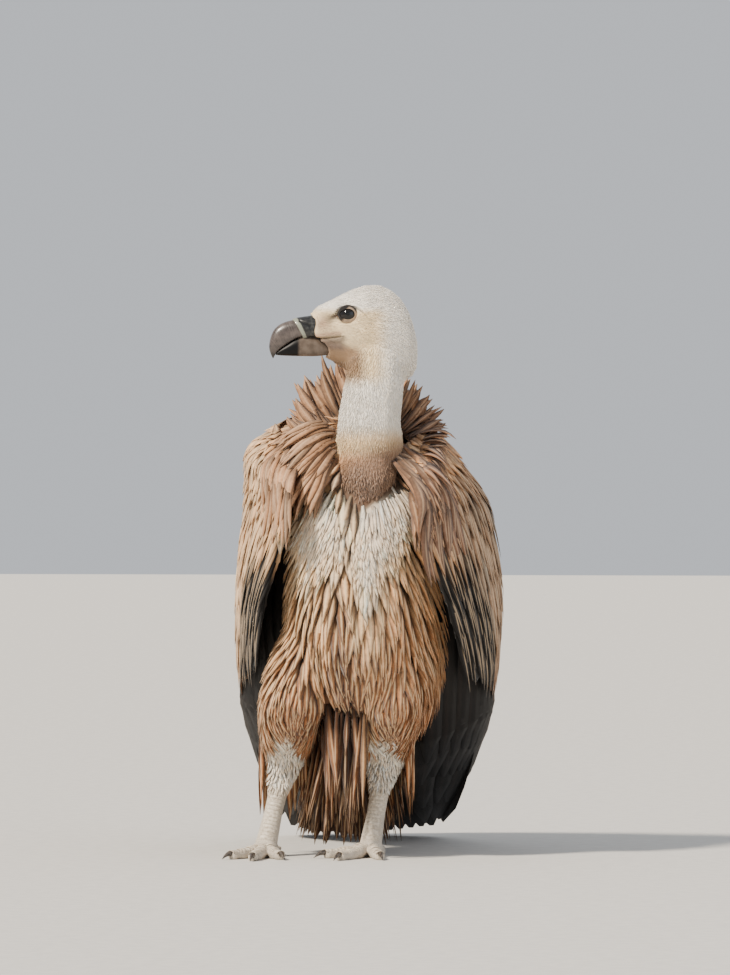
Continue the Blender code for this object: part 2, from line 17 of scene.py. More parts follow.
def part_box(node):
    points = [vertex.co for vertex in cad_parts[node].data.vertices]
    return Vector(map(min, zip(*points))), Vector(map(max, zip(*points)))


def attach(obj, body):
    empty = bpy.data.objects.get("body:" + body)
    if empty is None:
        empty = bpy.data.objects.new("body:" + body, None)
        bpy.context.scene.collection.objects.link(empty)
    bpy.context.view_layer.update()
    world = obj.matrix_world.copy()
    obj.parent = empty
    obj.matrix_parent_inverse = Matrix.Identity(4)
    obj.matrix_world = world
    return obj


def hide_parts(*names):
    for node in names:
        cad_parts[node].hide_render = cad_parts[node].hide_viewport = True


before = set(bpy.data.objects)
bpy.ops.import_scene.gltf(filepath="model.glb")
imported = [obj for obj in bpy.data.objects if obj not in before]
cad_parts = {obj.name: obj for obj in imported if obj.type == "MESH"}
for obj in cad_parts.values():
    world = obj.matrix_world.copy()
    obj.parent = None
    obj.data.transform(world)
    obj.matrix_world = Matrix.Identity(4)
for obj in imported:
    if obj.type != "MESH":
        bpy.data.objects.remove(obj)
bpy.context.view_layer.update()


# ---- the skin ----
# On the real bird this is one hide from the bill to the toes. Here it is one closed mesh drawn over
# the frame's solids of flesh, sunk below them by the depth of the feathers, and fine round the eyes.
SKIN_GRID = 0.0046       # spacing of the skin's mesh on the body
SWELL = 0.0006           # closes the small gaps between neighbouring solids
HEAD_YAW, HEAD_PITCH = math.radians(-76.0), math.radians(-1.0)
EYE_FORWARD, EYE_UP = 0.03, 0.0083
SKULL = Vector((0.065, -0.07, 0.6155))   # middle of the skull, from the ground under the bird
COAT_DEPTH = {"head": 0.0012, "neck": 0.003, "crop": 0.0024, "trunk": 0.0095, "vent": 0.006,
              "thigh": 0.005, "tarsus": 0.0012, "wing_shoulder": 0.005, "wing_coverts": 0.0042}

head_turn = Matrix.Rotation(HEAD_YAW, 3, "Z") @ Matrix.Rotation(HEAD_PITCH, 3, "X")
ahead, leftward = head_turn @ Vector((0, -1, 0)), head_turn @ Vector((1, 0, 0))
upward = head_turn @ Vector((0, 0, 1))


def middle_of(node):
    low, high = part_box(node)
    return (low + high) / 2


eye_middles = {word: middle_of("eye_" + word) for word in ("left", "right")}
skull = (eye_middles["left"] + eye_middles["right"]) / 2 - ahead * EYE_FORWARD - upward * EYE_UP
ground = skull - SKULL   # the place on the floor that the bird's own measures start from
ground_at, skull_at = np.array(ground), np.array(skull)
ahead_way, left_way, up_way = np.array(ahead), np.array(leftward), np.array(upward)


def on_head(forward, side, up):
    return skull + ahead * forward + leftward * side + upward * up


def head_measures(points):
    """How far places lie ahead of, to the left of and above the middle of the skull."""
    off = np.asarray(points) - skull_at
    return off @ ahead_way, off @ left_way, off @ up_way


def linear(hex_colour):
    """An sRGB hex colour as linear red, green, blue."""
    found = []
    for i in (0, 2, 4):
        part = int(hex_colour[i:i + 2], 16) / 255
        found.append(part / 12.92 if part <= 0.04045 else ((part + 0.055) / 1.055) ** 2.4)
    return np.array(found)


def fade(low, high, value):
    """0 at low, 1 at high, eased in and out between them; low may be the greater."""
    t = np.clip((value - low) / (high - low), 0.0, 1.0)
    return t * t * (3 - 2 * t)


def numbers_of(items, field, width, kind=np.float32):
    """One field of a mesh's corners, edges or loops, as rows of numbers."""
    found = np.zeros(len(items) * width, kind)
    items.foreach_get(field, found)
    return found.reshape(-1, width)


def corners_of(mesh):
    return numbers_of(mesh.vertices, "co", 3).astype(float)


def edges_of(mesh):
    return numbers_of(mesh.edges, "vertices", 2, np.int32)


def move_corners(mesh, places):
    mesh.vertices.foreach_set("co", places.astype(np.float32).ravel())
    mesh.update()


def mesh_of(bm, name):
    """Turns a bmesh into a new mesh of that name."""
    mesh = bpy.data.meshes.new(name)
    bm.to_mesh(mesh)
    bm.free()
    return mesh


def placed(name, data):
    """A new object of that name in the scene."""
    made = bpy.data.objects.new(name, data)
    bpy.context.scene.collection.objects.link(made)
    return made


def spread(values, pairs, rounds, share=0.5):
    """Moves each value towards the mean of its neighbours', a number of times."""
    first, second = pairs[:, 0], pairs[:, 1]
    count = len(values)
    links = np.maximum(np.bincount(first, minlength=count) + np.bincount(second, minlength=count), 1)
    values = values.astype(float)
    flat = values.reshape(count, -1)
    for turn in range(rounds):
        total = np.zeros_like(flat)
        for i in range(flat.shape[1]):
            total[:, i] = (np.bincount(first, flat[second, i], count)
                           + np.bincount(second, flat[first, i], count))
        step = share if np.isscalar(share) else share[:, None]
        flat = flat + step * (total / links[:, None] - flat)
    return flat.reshape(values.shape)


def eased(places, pairs, turns, inward, outward):
    """Smooths places without shrinking them: each round moves them in, then nearly as far out."""
    for turn in range(turns):
        places = spread(places, pairs, 1, inward)
        places = spread(places, pairs, 1, outward)
    return places


sides = ("left", "right")
side_of = {"left": 1, "right": -1}
flesh = ["head", "neck", "crop", "trunk", "vent"]
for word in sides:
    flesh += ["thigh_" + word, "tarsus_" + word, "wing_shoulder_" + word, "wing_coverts_" + word]
flesh_kinds = np.array([name.rsplit("_", 1)[0] if name.endswith(sides) else name for name in flesh])

joined = bmesh.new()
node_corners, node_faces, node_of_face = [], [], []
for number, node in enumerate(flesh):
    bm = bmesh.new()
    bm.from_mesh(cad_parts[node].data)
    bmesh.ops.remove_doubles(bm, verts=bm.verts[:], dist=0.00001)
    bm.normal_update()
    bm.verts.index_update()
    start = len(node_corners)
    node_corners += [tuple(v.co) for v in bm.verts]
    node_faces += [[start + v.index for v in f.verts] for f in bm.faces]
    node_of_face += [number] * len(bm.faces)
    for v in bm.verts:
        v.co += v.normal * SWELL
    part = mesh_of(bm, "part")
    joined.from_mesh(part)
    bpy.data.meshes.remove(part)
node_tree = BVHTree.FromPolygons(node_corners, node_faces)


def kinds_at(points):
    """Which kind of flesh each point lies on."""
    return flesh_kinds[[node_of_face[node_tree.find_nearest(p)[2]] for p in points]]


def remeshed(bm, name, grid):
    """One closed skin round everything in the bmesh, from a fine grid of boxes."""
    mesh = mesh_of(bm, name)
    made = placed(name, mesh)
    net = made.modifiers.new("net", "REMESH")
    net.mode = "VOXEL"
    net.voxel_size = grid
    seen = made.evaluated_get(bpy.context.evaluated_depsgraph_get())
    result = bpy.data.meshes.new_from_object(seen)
    bpy.data.objects.remove(made)
    bpy.data.meshes.remove(mesh)
    result.name = name
    return result


def largest_body(bm):
    """Drops every loose body of a bmesh but the one with the most corners."""
    left = set(bm.verts)
    bodies = []
    while left:
        front = [left.pop()]
        body = list(front)
        while front:
            for edge in front.pop().link_edges:
                for other in edge.verts:
                    if other in left:
                        left.remove(other)
                        front.append(other)
                        body.append(other)
        bodies.append(body)
    for body in sorted(bodies, key=len)[:-1]:
        bmesh.ops.delete(bm, geom=body, context="VERTS")


skin_mesh = remeshed(joined, "skin", SKIN_GRID)
bm = bmesh.new()
bm.from_mesh(skin_mesh)
largest_body(bm)
bm.to_mesh(skin_mesh)
bm.free()

# the facets of the solids are eased away, then every part sinks by the depth of its own coat
pairs = edges_of(skin_mesh)
places = eased(corners_of(skin_mesh), pairs, 10, 0.55, -0.5)
move_corners(skin_mesh, places)
kind_names = kinds_at(places)
coat_corners = places.copy()
coat_faces = [tuple(p.vertices) for p in skin_mesh.polygons]
coat_tree = BVHTree.FromPolygons(coat_corners.tolist(), coat_faces)
depths = spread(np.array([COAT_DEPTH[kind] for kind in kind_names]), pairs, 8)
normals = spread(numbers_of(skin_mesh.vertices, "normal", 3), pairs, 3)
normals /= np.maximum(np.linalg.norm(normals, axis=1), 1e-9)[:, None]
move_corners(skin_mesh, places - normals * depths[:, None])

# the head's part of the skin is made finer, level by level towards the face and the eyes
bm = bmesh.new()
bm.from_mesh(skin_mesh)
nearness = ((0.075, 0.0), (0.046, 0.04), (0.0175, 0.0))   # from the skull, then from the eyes
for level, (reach, bill_reach) in enumerate(nearness):
    chosen = set()
    for face in bm.faces:
        at = face.calc_center_median()
        if level == 0:
            near = (at - skull).length < reach
        else:
            near = min((at - middle).length for middle in eye_middles.values()) < reach
            near = near or (at - on_head(0.06, 0, -0.015)).length < bill_reach
        if near:
            chosen.update(face.edges)
    bmesh.ops.subdivide_edges(bm, edges=list(chosen), cuts=1, use_grid_fill=True)
bmesh.ops.triangulate(bm, faces=[f for f in bm.faces if len(f.verts) > 4])
bm.to_mesh(skin_mesh)
bm.free()

# brow, lores, cheek, gape and ear are worked in by moving the fine skin along its own normals
FACE_DRAWN = 0.0062      # how far the fine skin of the face is drawn out to meet the cere
places = corners_of(skin_mesh)
head_share = fade(0.085, 0.065, np.linalg.norm(places - skull_at, axis=1))
places = eased(places, edges_of(skin_mesh), 8, 0.5 * head_share, -0.46 * head_share)
drawn = fade(0.042, 0.058, head_measures(places)[0]) * head_share * FACE_DRAWN
places = places + drawn[:, None] * ahead_way
forward, aside, up = head_measures(places)
aside = np.abs(aside)
eye_forward = (forward - EYE_FORWARD) * 1000    # millimetres from the eye's middle
eye_up = (up - EYE_UP) * 1000


def bump(off, width):
    """1 where off is nought, fading away over the width."""
    return np.exp(-(off / width) ** 2)


def mouth_height(fore):
    """The mouth's line, in millimetres from the eye's middle."""
    return -25.0 - 0.13 * (fore - 6.0)


on_cheek = fade(0.008, 0.014, aside) * head_share
arch = np.sqrt(((eye_forward + 1.5) / 14.8) ** 2 + (eye_up / 9.6) ** 2)
brow = bump(arch - 1.16, 0.2) * fade(-2.5, 3.0, eye_up) * 2.6
crease = bump(arch - 0.98, 0.09) * fade(-2.0, 3.0, eye_up) * -0.7
bag = bump(np.hypot(eye_forward / 12.5, eye_up / 10.5) - 1.12, 0.12)
bag = bag * fade(0.0, -4.0, eye_up) * 0.55
lores = bump(np.hypot(eye_forward - 21.0, (eye_up + 3.0) * 1.4), 8.0) * -1.5
mouth_up = mouth_height(eye_forward)
in_mouth = fade(6.0, 10.0, eye_forward)
gape = bump(eye_up - mouth_up, 1.3) * in_mouth * -1.5
upper_lip = bump(eye_up - mouth_up - 3.0, 1.6) * 0.8
lower_lip = bump(eye_up - mouth_up + 3.4, 2.0) * 0.6
lip = (upper_lip + lower_lip) * in_mouth
corner = bump(np.hypot(eye_forward - 6.0, eye_up - mouth_up + 1.0), 2.6) * 0.9
jaw = bump(eye_up + 37.0 - 0.3 * eye_forward, 2.2)
jaw = jaw * fade(4.0, 14.0, eye_forward) * -0.7
ear = bump(np.hypot(eye_forward + 28.0, eye_up + 9.0), 5.0) * -1.2
cheek = bump(np.hypot(eye_forward + 6.0, eye_up + 20.0), 12.0) * 0.9
worked = (brow + crease + bag + lores + gape + lip + corner + jaw + ear + cheek) * on_cheek / 1000
move_corners(skin_mesh, places)
move_corners(skin_mesh, places + numbers_of(skin_mesh.vertices, "normal", 3) * worked[:, None])


# ---- eyelids, joined to the skin ----
# The lids are thin bare rims with a dark edge, pale below, that lie on the eyeball and run out under
# the down; above and in the front corner they are painted dark as painted shade under the brow. Each is a
# ring of skin round the opening, joined to the same mesh as the hide.
EYE_LOOK_FORWARD = math.radians(7.0)     # how far the eye's axis leans from the side to the front
LID_STEPS = 72
LID_END = 1.52           # radians from the axis, where the lid passes under the skin
# the dark tone is both the lid's own rim and painted shade above and in the front corner
LID_COLOURS = ("120B08", "B79F86")     # dark above and in front, pale below
# each row: radians past the rim, share of the way to the lid's end, height above the ball
LID_PROFILE = ((-0.03, 0.0, 0.00025), (-0.012, 0.0, 0.00045), (0.0, 0.0, 0.00065),
               (0.022, 0.0, 0.00075), (0.05, 0.0, 0.0007), (0.05, 0.12, 0.00065),
               (0.05, 0.3, 0.00095), (0.05, 0.52, 0.00115), (0.0, 0.8, 0.0007), (0.0, 1.0, -0.001))
eye_radius = (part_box("eye_left")[1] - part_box("eye_left")[0]).z / 2


def eye_frame(word):
    """The eye's own axes: out through the pupil, to the front, and up."""
    outward = leftward * side_of[word]
    out = (outward * math.cos(EYE_LOOK_FORWARD) + ahead * math.sin(EYE_LOOK_FORWARD)).normalized()
    front = (ahead - out * ahead.dot(out)).normalized()
    return out, front, upward


def lid_opening(turn):
    """The angle from the eye's axis to the lid's rim: longer in front, flatter above."""
    c, s = math.cos(turn), math.sin(turn)
    width = 0.82 if c > 0 else 0.76
    height = 0.62 if s > 0 else 0.53
    point = 1.0 + 0.34 * max(0.0, c) ** 8
    return point / math.sqrt((c / width) ** 2 + (s / height) ** 2)


lids = bmesh.new()
for word in sides:
    out, front, high = eye_frame(word)
    rings = []
    for step in range(LID_STEPS):
        turn = 2 * math.pi * step / LID_STEPS
        ring = []
        for off, outward, height in LID_PROFILE:
            angle = lid_opening(turn)
            angle += off + (LID_END - angle) * outward
            heavy = 1.0 + 0.5 * max(0.0, math.sin(turn))       # the upper lid is the thicker
            spoke = front * math.cos(turn) + high * math.sin(turn)
            ray = out * math.cos(angle) + spoke * math.sin(angle)
            ring.append(lids.verts.new(eye_middles[word] + ray * (eye_radius + height * heavy)))
        rings.append(ring)
    for here, there in zip(rings, rings[1:] + rings[:1]):
        for i in range(len(here) - 1):
            corners = (here[i], here[i + 1], there[i + 1], there[i])
            lids.faces.new(corners[::-1] if word == "left" else corners)
lids.normal_update()
lid_mesh = mesh_of(lids, "lids")


# ---- shanks and toes, joined to the skin ----
# Bare scaled skin over bone: a straight shank, three toes forward and one back, each with swollen
# joints and pads that spread on the floor. The hide of the shank runs up under the white trousers.
TOE_RADIUS, SHANK_RADIUS = 0.0068, 0.0104
FOOT_GRID = 0.00135      # spacing of the mesh on shanks and toes
FLOOR_GAP = 0.0002       # the soles stay this far above the floor
LEGS = {
    "right": {"hock": (-0.042, 0.0, 0.113), "foot": (-0.062, -0.026, 0.013),
              "toes": math.radians(-4.0), "spread": 0.8},
    "left": {"hock": (0.073, 0.01, 0.113), "foot": (0.058, -0.012, 0.013),
             "toes": math.radians(-20.0), "spread": 1.0},
}
# each toe: its turn from the middle one, its length and its number of joints
TOES = {"inner": (math.radians(34.0), 0.047, 2), "middle": (0.0, 0.068, 3),
        "outer": (math.radians(-36.0), 0.05, 3), "hind": (math.radians(172.0), 0.028, 1)}


def toe_line(word, toe, steps):
    """Places and radii along one toe, from its root to the base of its claw, and the way it points."""
    leg = LEGS[word]
    turn, length, joints = TOES[toe]
    heading = leg["toes"] - side_of[word] * turn * (leg["spread"] if toe != "hind" else 1.0)
    way = Vector((math.sin(heading), -math.cos(heading), 0))
    start = ground + Vector((leg["foot"][0], leg["foot"][1], 0)) + way * 0.0095
    path, radii = [], []
    for i in range(steps):
        t = i / (steps - 1)
        swollen = 1.0 + 0.09 * math.cos(2 * math.pi * t * joints)
        radius = TOE_RADIUS * (1.1 - 0.3 * t) * swollen
        height = TOE_RADIUS * 0.86 * (1.0 - 0.2 * t) + 0.0045 * (1 - t) ** 3
        path.append(start + way * ((length + 0.002) * t) + Vector((0, 0, height)))
        radii.append(radius)
    return path, radii, way


def sweep(bm, path, radii, sides_round=20, squash=1.0):
    """A round limb along a path, closed at both ends; squash flattens it from above."""
    loops = []
    for i, (at, radius) in enumerate(zip(path, radii)):
        way = (path[min(i + 1, len(path) - 1)] - path[max(i - 1, 0)]).normalized()
        across = way.cross(Vector((0.02, 0.01, 1.0))).normalized()
        above = across.cross(way).normalized()
        turns = np.linspace(0, 2 * math.pi, sides_round, endpoint=False)
        spokes = [across * math.cos(a) + above * (math.sin(a) * squash) for a in turns]
        loops.append([bm.verts.new(at + spoke * radius) for spoke in spokes])
    for low, high in zip(loops, loops[1:]):
        for i, corner in enumerate(low):
            after = (i + 1) % len(low)
            bm.faces.new((corner, low[after], high[after], high[i]))
    bm.faces.new(loops[0][::-1])
    bm.faces.new(loops[-1])


limbs = bmesh.new()
shank_lines = {}
for word, leg in LEGS.items():
    hock, foot = Vector(leg["hock"]) + ground, Vector(leg["foot"]) + ground
    shares = np.linspace(-0.02, 1.0, 15)
    path = [hock.lerp(foot, t) for t in shares]
    radii = [SHANK_RADIUS + 0.0045 * (1 - t) ** 4 + 0.0024 * max(0.0, t - 0.62) / 0.38 for t in shares]
    shank_lines[word] = (path, radii)
    sweep(limbs, path, radii, 24)
    sweep(limbs, [foot + Vector((0, 0, h)) for h in (-0.0125, -0.009, -0.004, 0.002, 0.006)],
          (0.0105, 0.0145, 0.0155, 0.0135, 0.0095), 24)
    for toe in TOES:
        path, radii, way = toe_line(word, toe, 24)
        path = [path[0] - way * 0.006] + path + [path[-1] + way * 0.0022]
        sweep(limbs, path, [radii[0] * 0.9] + radii + [radii[-1] * 0.62], 18, 0.94)
bmesh.ops.recalc_face_normals(limbs, faces=limbs.faces[:])
limb_mesh = remeshed(limbs, "limbs", FOOT_GRID)
spots = eased(corners_of(limb_mesh), edges_of(limb_mesh), 4, 0.5, -0.45)
# the soles are pressed flat on the floor
low = spots[:, 2] < 0.0022
spots[low, 2] = np.maximum(spots[low, 2] * 0.55, FLOOR_GAP)
move_corners(limb_mesh, spots)

bm = bmesh.new()
for mesh in (skin_mesh, lid_mesh, limb_mesh):
    bm.from_mesh(mesh)
bmesh.ops.triangulate(bm, faces=bm.faces[:])
bm.to_mesh(skin_mesh)
bm.free()
skin_mesh.shade_smooth()
skin = placed("skin", skin_mesh)


# ---- markings and painted shade, the same on the skin and on every feather ----
# A young griffon: cream down on head and neck, a brown crop, a pale bib in two lobes, tan lances on
# breast and wings, darker towards the vent, white boots, and flight feathers almost black.
CREAM, WARM_CREAM, BROWN_DOWN = linear("F7F0E4"), linear("F2D5A8"), linear("A07F66")
TAN, PALE_TAN, RUFOUS = linear("C69468"), linear("DDB68E"), linear("94603D")
BACK_BROWN, WING_GREY = linear("92705A"), linear("6B574A")
BLACK, GREY_BLACK = linear("130F0D"), linear("3A302A")
BODY_MIDDLE, BODY_LEAN = 0.043, math.radians(1.5)   # the bird stands a little to its left, and leans
FOOT_GREY, GAPE_GREY, JAW_BROWN = linear("CFC4B4"), linear("A5836C"), linear("75645A")
# painted shade colours: brown for the throat under the chin, dark for the face's creases, brow and socket,
# and deep brown for the belly's groove and the crop's edge and fold
FACE_CREAM, THROAT_SHADE_BROWN = linear("F3DCB2"), linear("8F6C50")
FACE_SHADE_DARK, DEEP_SHADE_BROWN = linear("2A1A12"), linear("6A432C")


def blend(first, second, share):
    share = np.asarray(share)[:, None]
    return first * (1 - share) + second * share


def dome(off_x, off_z, wide, high):
    return np.exp(-(off_x / wide) ** 2 - (off_z / high) ** 2)


def body_middle(z):
    """The belly's middle line at a height, on the leaning body."""
    return BODY_MIDDLE + z * math.tan(BODY_LEAN)


def marking(points):
    """The plumage's colour at places on the bird, from where they are on its body, with painted shade laid
    in on the face, throat, crop, belly and the left wing's outer side.
    """
    own = np.asarray(points) - ground_at
    x, y, z = own.T
    fore, _, high = head_measures(points)
    middle = body_middle(z)
    # trunk and wings: tan in front, browner below and behind; the left wing's outer side, turned from the
    # key lamp, is painted greyer as painted shade
    found = blend(TAN, RUFOUS, fade(0.3, 0.15, z) * 0.85)
    found = blend(found, BACK_BROWN, fade(0.02, 0.1, y) * 0.85)
    outer = fade(0.085, 0.12, np.abs(x - middle)) * fade(0.16, 0.24, z)
    in_shade = fade(middle + 0.07, middle + 0.11, x) * 0.72
    wing_tone = blend(PALE_TAN[None, :], WING_GREY, in_shade)
    found = blend(found, wing_tone, outer * fade(0.12, 0.02, y))
    # the pale bib: two white lobes under the crop, cream running down from them
    front = fade(0.01, -0.04, y)
    streak = 0.55 + 0.45 * np.sin(x * 520.0 + 1.3 * np.sin(z * 60.0))
    bib = (1.2 * dome(x - 0.006, z - 0.386, 0.034, 0.032)
           + 1.3 * dome(x - 0.088, z - 0.391, 0.025, 0.034)
           + 0.8 * dome(x - 0.104, z - 0.415, 0.013, 0.02)
           + 0.75 * dome(x - 0.068, z - 0.325, 0.016, 0.066)
           + 0.6 * dome(x + 0.002, z - 0.33, 0.034, 0.055) * streak
           + 0.45 * dome(x - 0.045, z - 0.35, 0.06, 0.045))
    found = blend(found, WARM_CREAM, np.clip(bib * 1.3, 0, 1) * 0.8 * front)
    found = blend(found, CREAM, np.clip(bib * 1.6 - 0.75, 0, 1) * 0.72 * front)
    # painted shade: the groove down the belly's middle is painted deep brown
    groove_shade = bump(x - 0.036, 0.01) * fade(0.36, 0.26, z) * fade(0.08, 0.14, z)
    found = blend(found, DEEP_SHADE_BROWN, groove_shade * 0.82 * front)
    # white boots in front of the hock, softly edged
    for leg in LEGS.values():
        hock, foot = np.array(leg["hock"]), np.array(leg["foot"])
        axis = (hock - foot) / (hock - foot)[2]
        across = own - hock - (z - hock[2])[:, None] * axis
        side_off = np.abs(across[:, 0]) / 0.025
        boot = np.hypot(side_off, (z - 0.108) / 0.04)
        behind = fade(0.02, 0.006, across[:, 1])
        found = blend(found, CREAM, fade(1.12, 0.92, boot) * behind)
    # neck, crop and head
    in_front = np.hypot(x - 0.06, (y + 0.076) * 0.8)
    neck_x = np.interp(z, (0.425, 0.462, 0.548), (0.058, 0.063, 0.07))
    neck_y = np.interp(z, (0.425, 0.462, 0.505, 0.548), (-0.03, -0.07, -0.088, -0.082))
    wide = 0.048 - 0.12 * (z - 0.46)
    round_neck = fade(wide + 0.003, wide - 0.001, np.hypot(x - neck_x, y - neck_y))
    ball = np.sqrt(((x - 0.06) / 0.041) ** 2 + ((y + 0.076) / 0.046) ** 2 + ((z - 0.437) / 0.053) ** 2)
    round_neck = np.maximum(round_neck, fade(1.12, 1.04, ball))
    found = blend(found, WARM_CREAM, fade(0.455, 0.475, z) * round_neck)
    found = blend(found, CREAM, fade(0.478, 0.502, z) * round_neck)
    low_edge = 0.396 + np.where(x > 0.052, 0.62, 1.0) * np.abs(x - 0.052)
    high_edge = 0.462 + 0.42 * (x - 0.06)
    crop = fade(-0.003, 0.006, z - low_edge) * fade(0.02, -0.016, z - high_edge)
    crop = crop * fade(-0.05, -0.08, y)
    crop = crop * fade(0.056, 0.046, np.abs(x - 0.058)) * fade(0.078, 0.064, in_front)
    found = blend(found, BROWN_DOWN, crop)
    # painted shade: a deep brown band along the crop's lower edge, under its bulge, and a darker fold down
    # its middle
    found = blend(found, DEEP_SHADE_BROWN, crop * bump(z - low_edge, 0.007) * 0.7)
    fold_shade = crop * bump(x - 0.06, 0.006) * fade(0.445, 0.425, z)
    found = blend(found, DEEP_SHADE_BROWN, fold_shade * 0.35)
    head = fade(0.54, 0.56, z) * fade(-0.02, -0.05, y)
    found = blend(found, CREAM, head)
    eye_f, eye_u = (fore - EYE_FORWARD) * 1000, (high - EYE_UP) * 1000
    face = fade(10, 0, eye_u) * fade(-50, -25, eye_f) * head
    found = blend(found, FACE_CREAM, face)
    # painted shade makes the throat brown under the chin; grey-pink lores and jaw; painted shade darkens
    # the mouth's line, a stripe from the bill to the eye, and the brow over it
    throat_shade = fade(-31, -41, eye_u - 0.3 * eye_f) * fade(-24, -9, eye_f)
    found = blend(found, THROAT_SHADE_BROWN, throat_shade * head * 0.85)
    lores = dome(eye_f - 29, eye_u + 11, 11, 9)
    found = blend(found, GAPE_GREY, lores * 0.75 * head)
    over_mouth = eye_u - mouth_height(eye_f)
    jaw = fade(1.0, -2.5, over_mouth) * fade(-17.0, -11.0, over_mouth - 0.2 * (eye_f - 14))
    found = blend(found, JAW_BROWN, jaw * fade(-2, 9, eye_f) * 0.8 * head)
    upper_lip = bump(over_mouth - 4.0, 2.6) * fade(4, 12, eye_f)
    found = blend(found, GAPE_GREY, upper_lip * 0.8 * head)
    line = bump(over_mouth, 1.2) * fade(3, 6, eye_f)
    found = blend(found, FACE_SHADE_DARK, line * 0.85 * head)
    lore_shade_up = 0.4 - 0.42 * (eye_f - 9)
    lore_shade = bump(eye_u - lore_shade_up, 3.0 + 0.12 * np.maximum(0, eye_f - 9)) * fade(5, 9, eye_f)
    found = blend(found, FACE_SHADE_DARK, lore_shade * fade(31, 14, eye_f) * head)
    arch = 8.2 - np.where(eye_f > -3, 0.033, 0.034) * (eye_f + 3) ** 2
    brow = bump(eye_u - arch, 0.95) * fade(-19, -14, eye_f) * fade(15, 11, eye_f)
    found = blend(found, FACE_SHADE_DARK, brow * (0.75 + 0.25 * fade(-12, -3, eye_f)) * head)
    # painted shade: dark in the socket under the brow, and a grey ring of painted shade under the eye's
    # bag
    socket = np.hypot((eye_f - 1.0) / 10.6, (eye_u - 0.2) / 7.2)
    socket_shade = fade(1.06, 0.94, socket) * fade(-1, 3, eye_u)
    found = blend(found, FACE_SHADE_DARK, socket_shade * head)
    socket_rim_shade = bump(socket - 1.15, 0.12) * fade(0, -4, eye_u)
    found = blend(found, GAPE_GREY, socket_rim_shade * 0.6 * head)
    # bare shanks and toes
    bare = np.zeros(len(found))
    for leg in LEGS.values():
        hock, foot = np.array(leg["hock"]), np.array(leg["foot"])
        share = np.clip(((own - hock) @ (foot - hock)) / ((foot - hock) @ (foot - hock)), 0, 1)
        off = np.linalg.norm(own - (hock + share[:, None] * (foot - hock)), axis=1)
        bare = np.maximum(bare, fade(0.022, 0.018, off) * fade(0.34, 0.42, share))
        toes_off = np.linalg.norm(own - foot, axis=1)
        bare = np.maximum(bare, fade(0.1, 0.09, toes_off) * fade(0.03, 0.02, z))
    return blend(found, FOOT_GREY, bare)


def rgba(colour):
    return (*[float(c) for c in colour], 1.0)


def add(tree, kind, given=None, out=0, **settings):
    """Adds a node with its settings and what it is given, by socket: a link, a colour or a value."""
    node = tree.nodes.new(kind if "Node" in kind else "ShaderNode" + kind)
    for name, value in settings.items():
        setattr(node, name, value)
    for name, value in (given or {}).items():
        if isinstance(value, bpy.types.NodeSocket):
            tree.links.new(value, node.inputs[name])
        else:
            node.inputs[name].default_value = rgba(value) if isinstance(value, np.ndarray) else value
    return node.outputs[out] if node.outputs else None


def new_finish(name):
    """An empty material of that name, and its tree."""
    made = bpy.data.materials.new(name)
    made.use_nodes = True
    made.node_tree.nodes.clear()
    return made, made.node_tree


def surfaced(tree, looks):
    """Ends a material's tree with a surface that has these looks."""
    add(tree, "OutputMaterial", {"Surface": add(tree, "BsdfPrincipled", looks)})


SOFTLY = {"interpolation_type": "SMOOTHSTEP"}      # a ramp that eases in and out
OVER = {"data_type": "RGBA", "out": 2}             # one colour laid over another
TIMES = {"data_type": "RGBA", "out": 2, "blend_type": "MULTIPLY"}


def paint(mesh, name, colours):
    """Stores one colour for each corner of the mesh."""
    layer = mesh.color_attributes.new(name, "FLOAT_COLOR", "POINT")
    full = np.ones((len(colours), 4), np.float32)
    full[:, :3] = colours
    layer.data.foreach_set("color", full.ravel())


def clouded(tree, scale, detail, low, high, first, second):
    """Two tones of one stuff in soft clouds: the place, the clouds and the colour."""
    spot = add(tree, "TexCoord", out="Object")
    cloud = add(tree, "TexNoise", {"Vector": spot, "Scale": scale, "Detail": detail})
    share = add(tree, "MapRange", {0: cloud, 1: low, 2: high}, **SOFTLY)
    return spot, cloud, add(tree, "Mix", {0: share, 6: linear(first), 7: linear(second)}, **OVER)


def mapped(tree, name):
    """The first measure of a piece's own map; the second is the same node's next output."""
    return add(tree, "SeparateXYZ", {0: add(tree, "UVMap", uv_map=name)})


def darkened(tree, colour, tone):
    """A colour made lighter or darker by a tone, all channels alike."""
    grey = add(tree, "CombineColor", {"Red": tone, "Green": tone, "Blue": tone})
    return add(tree, "Mix", {0: 1.0, 6: colour, 7: grey}, **TIMES)


# hide under down: matt, scattering a little, with a fine fluffy grain of 0.8 mm
HIDE_GRAIN = 1 / 0.0008
SCALE_GRAIN = 1 / 0.0022     # the small scales of the bare feet, 2.2 mm across
hide, tree = new_finish("downy_hide")
spot = add(tree, "TexCoord", out="Object")
mark = add(tree, "Attribute", attribute_name="plumage")
patch = add(tree, "TexNoise", {"Vector": spot, "Scale": 70.0, "Detail": 4.0})
fluff = add(tree, "TexNoise", {"Vector": spot, "Scale": HIDE_GRAIN, "Detail": 3.0})
shade = add(tree, "MapRange", {0: patch, 1: 0.25, 2: 0.75, 3: 0.8, 4: 1.08}, **SOFTLY)
colour = darkened(tree, mark, shade)
bare = add(tree, "Attribute", attribute_name="bareness", out="Fac")
scales = add(tree, "TexVoronoi", {"Vector": spot, "Scale": SCALE_GRAIN}, feature="DISTANCE_TO_EDGE")
joint = add(tree, "MapRange", {0: scales, 1: 0.0, 2: 0.1}, **SOFTLY)
joint_dark = add(tree, "MapRange", {0: joint, 3: 0.55, 4: 0.0}, **SOFTLY)
joint_share = add(tree, "Math", {0: joint_dark, 1: bare}, operation="MULTIPLY")
colour = add(tree, "Mix", {0: joint_share, 6: colour, 7: linear("8C7F70")}, **OVER)
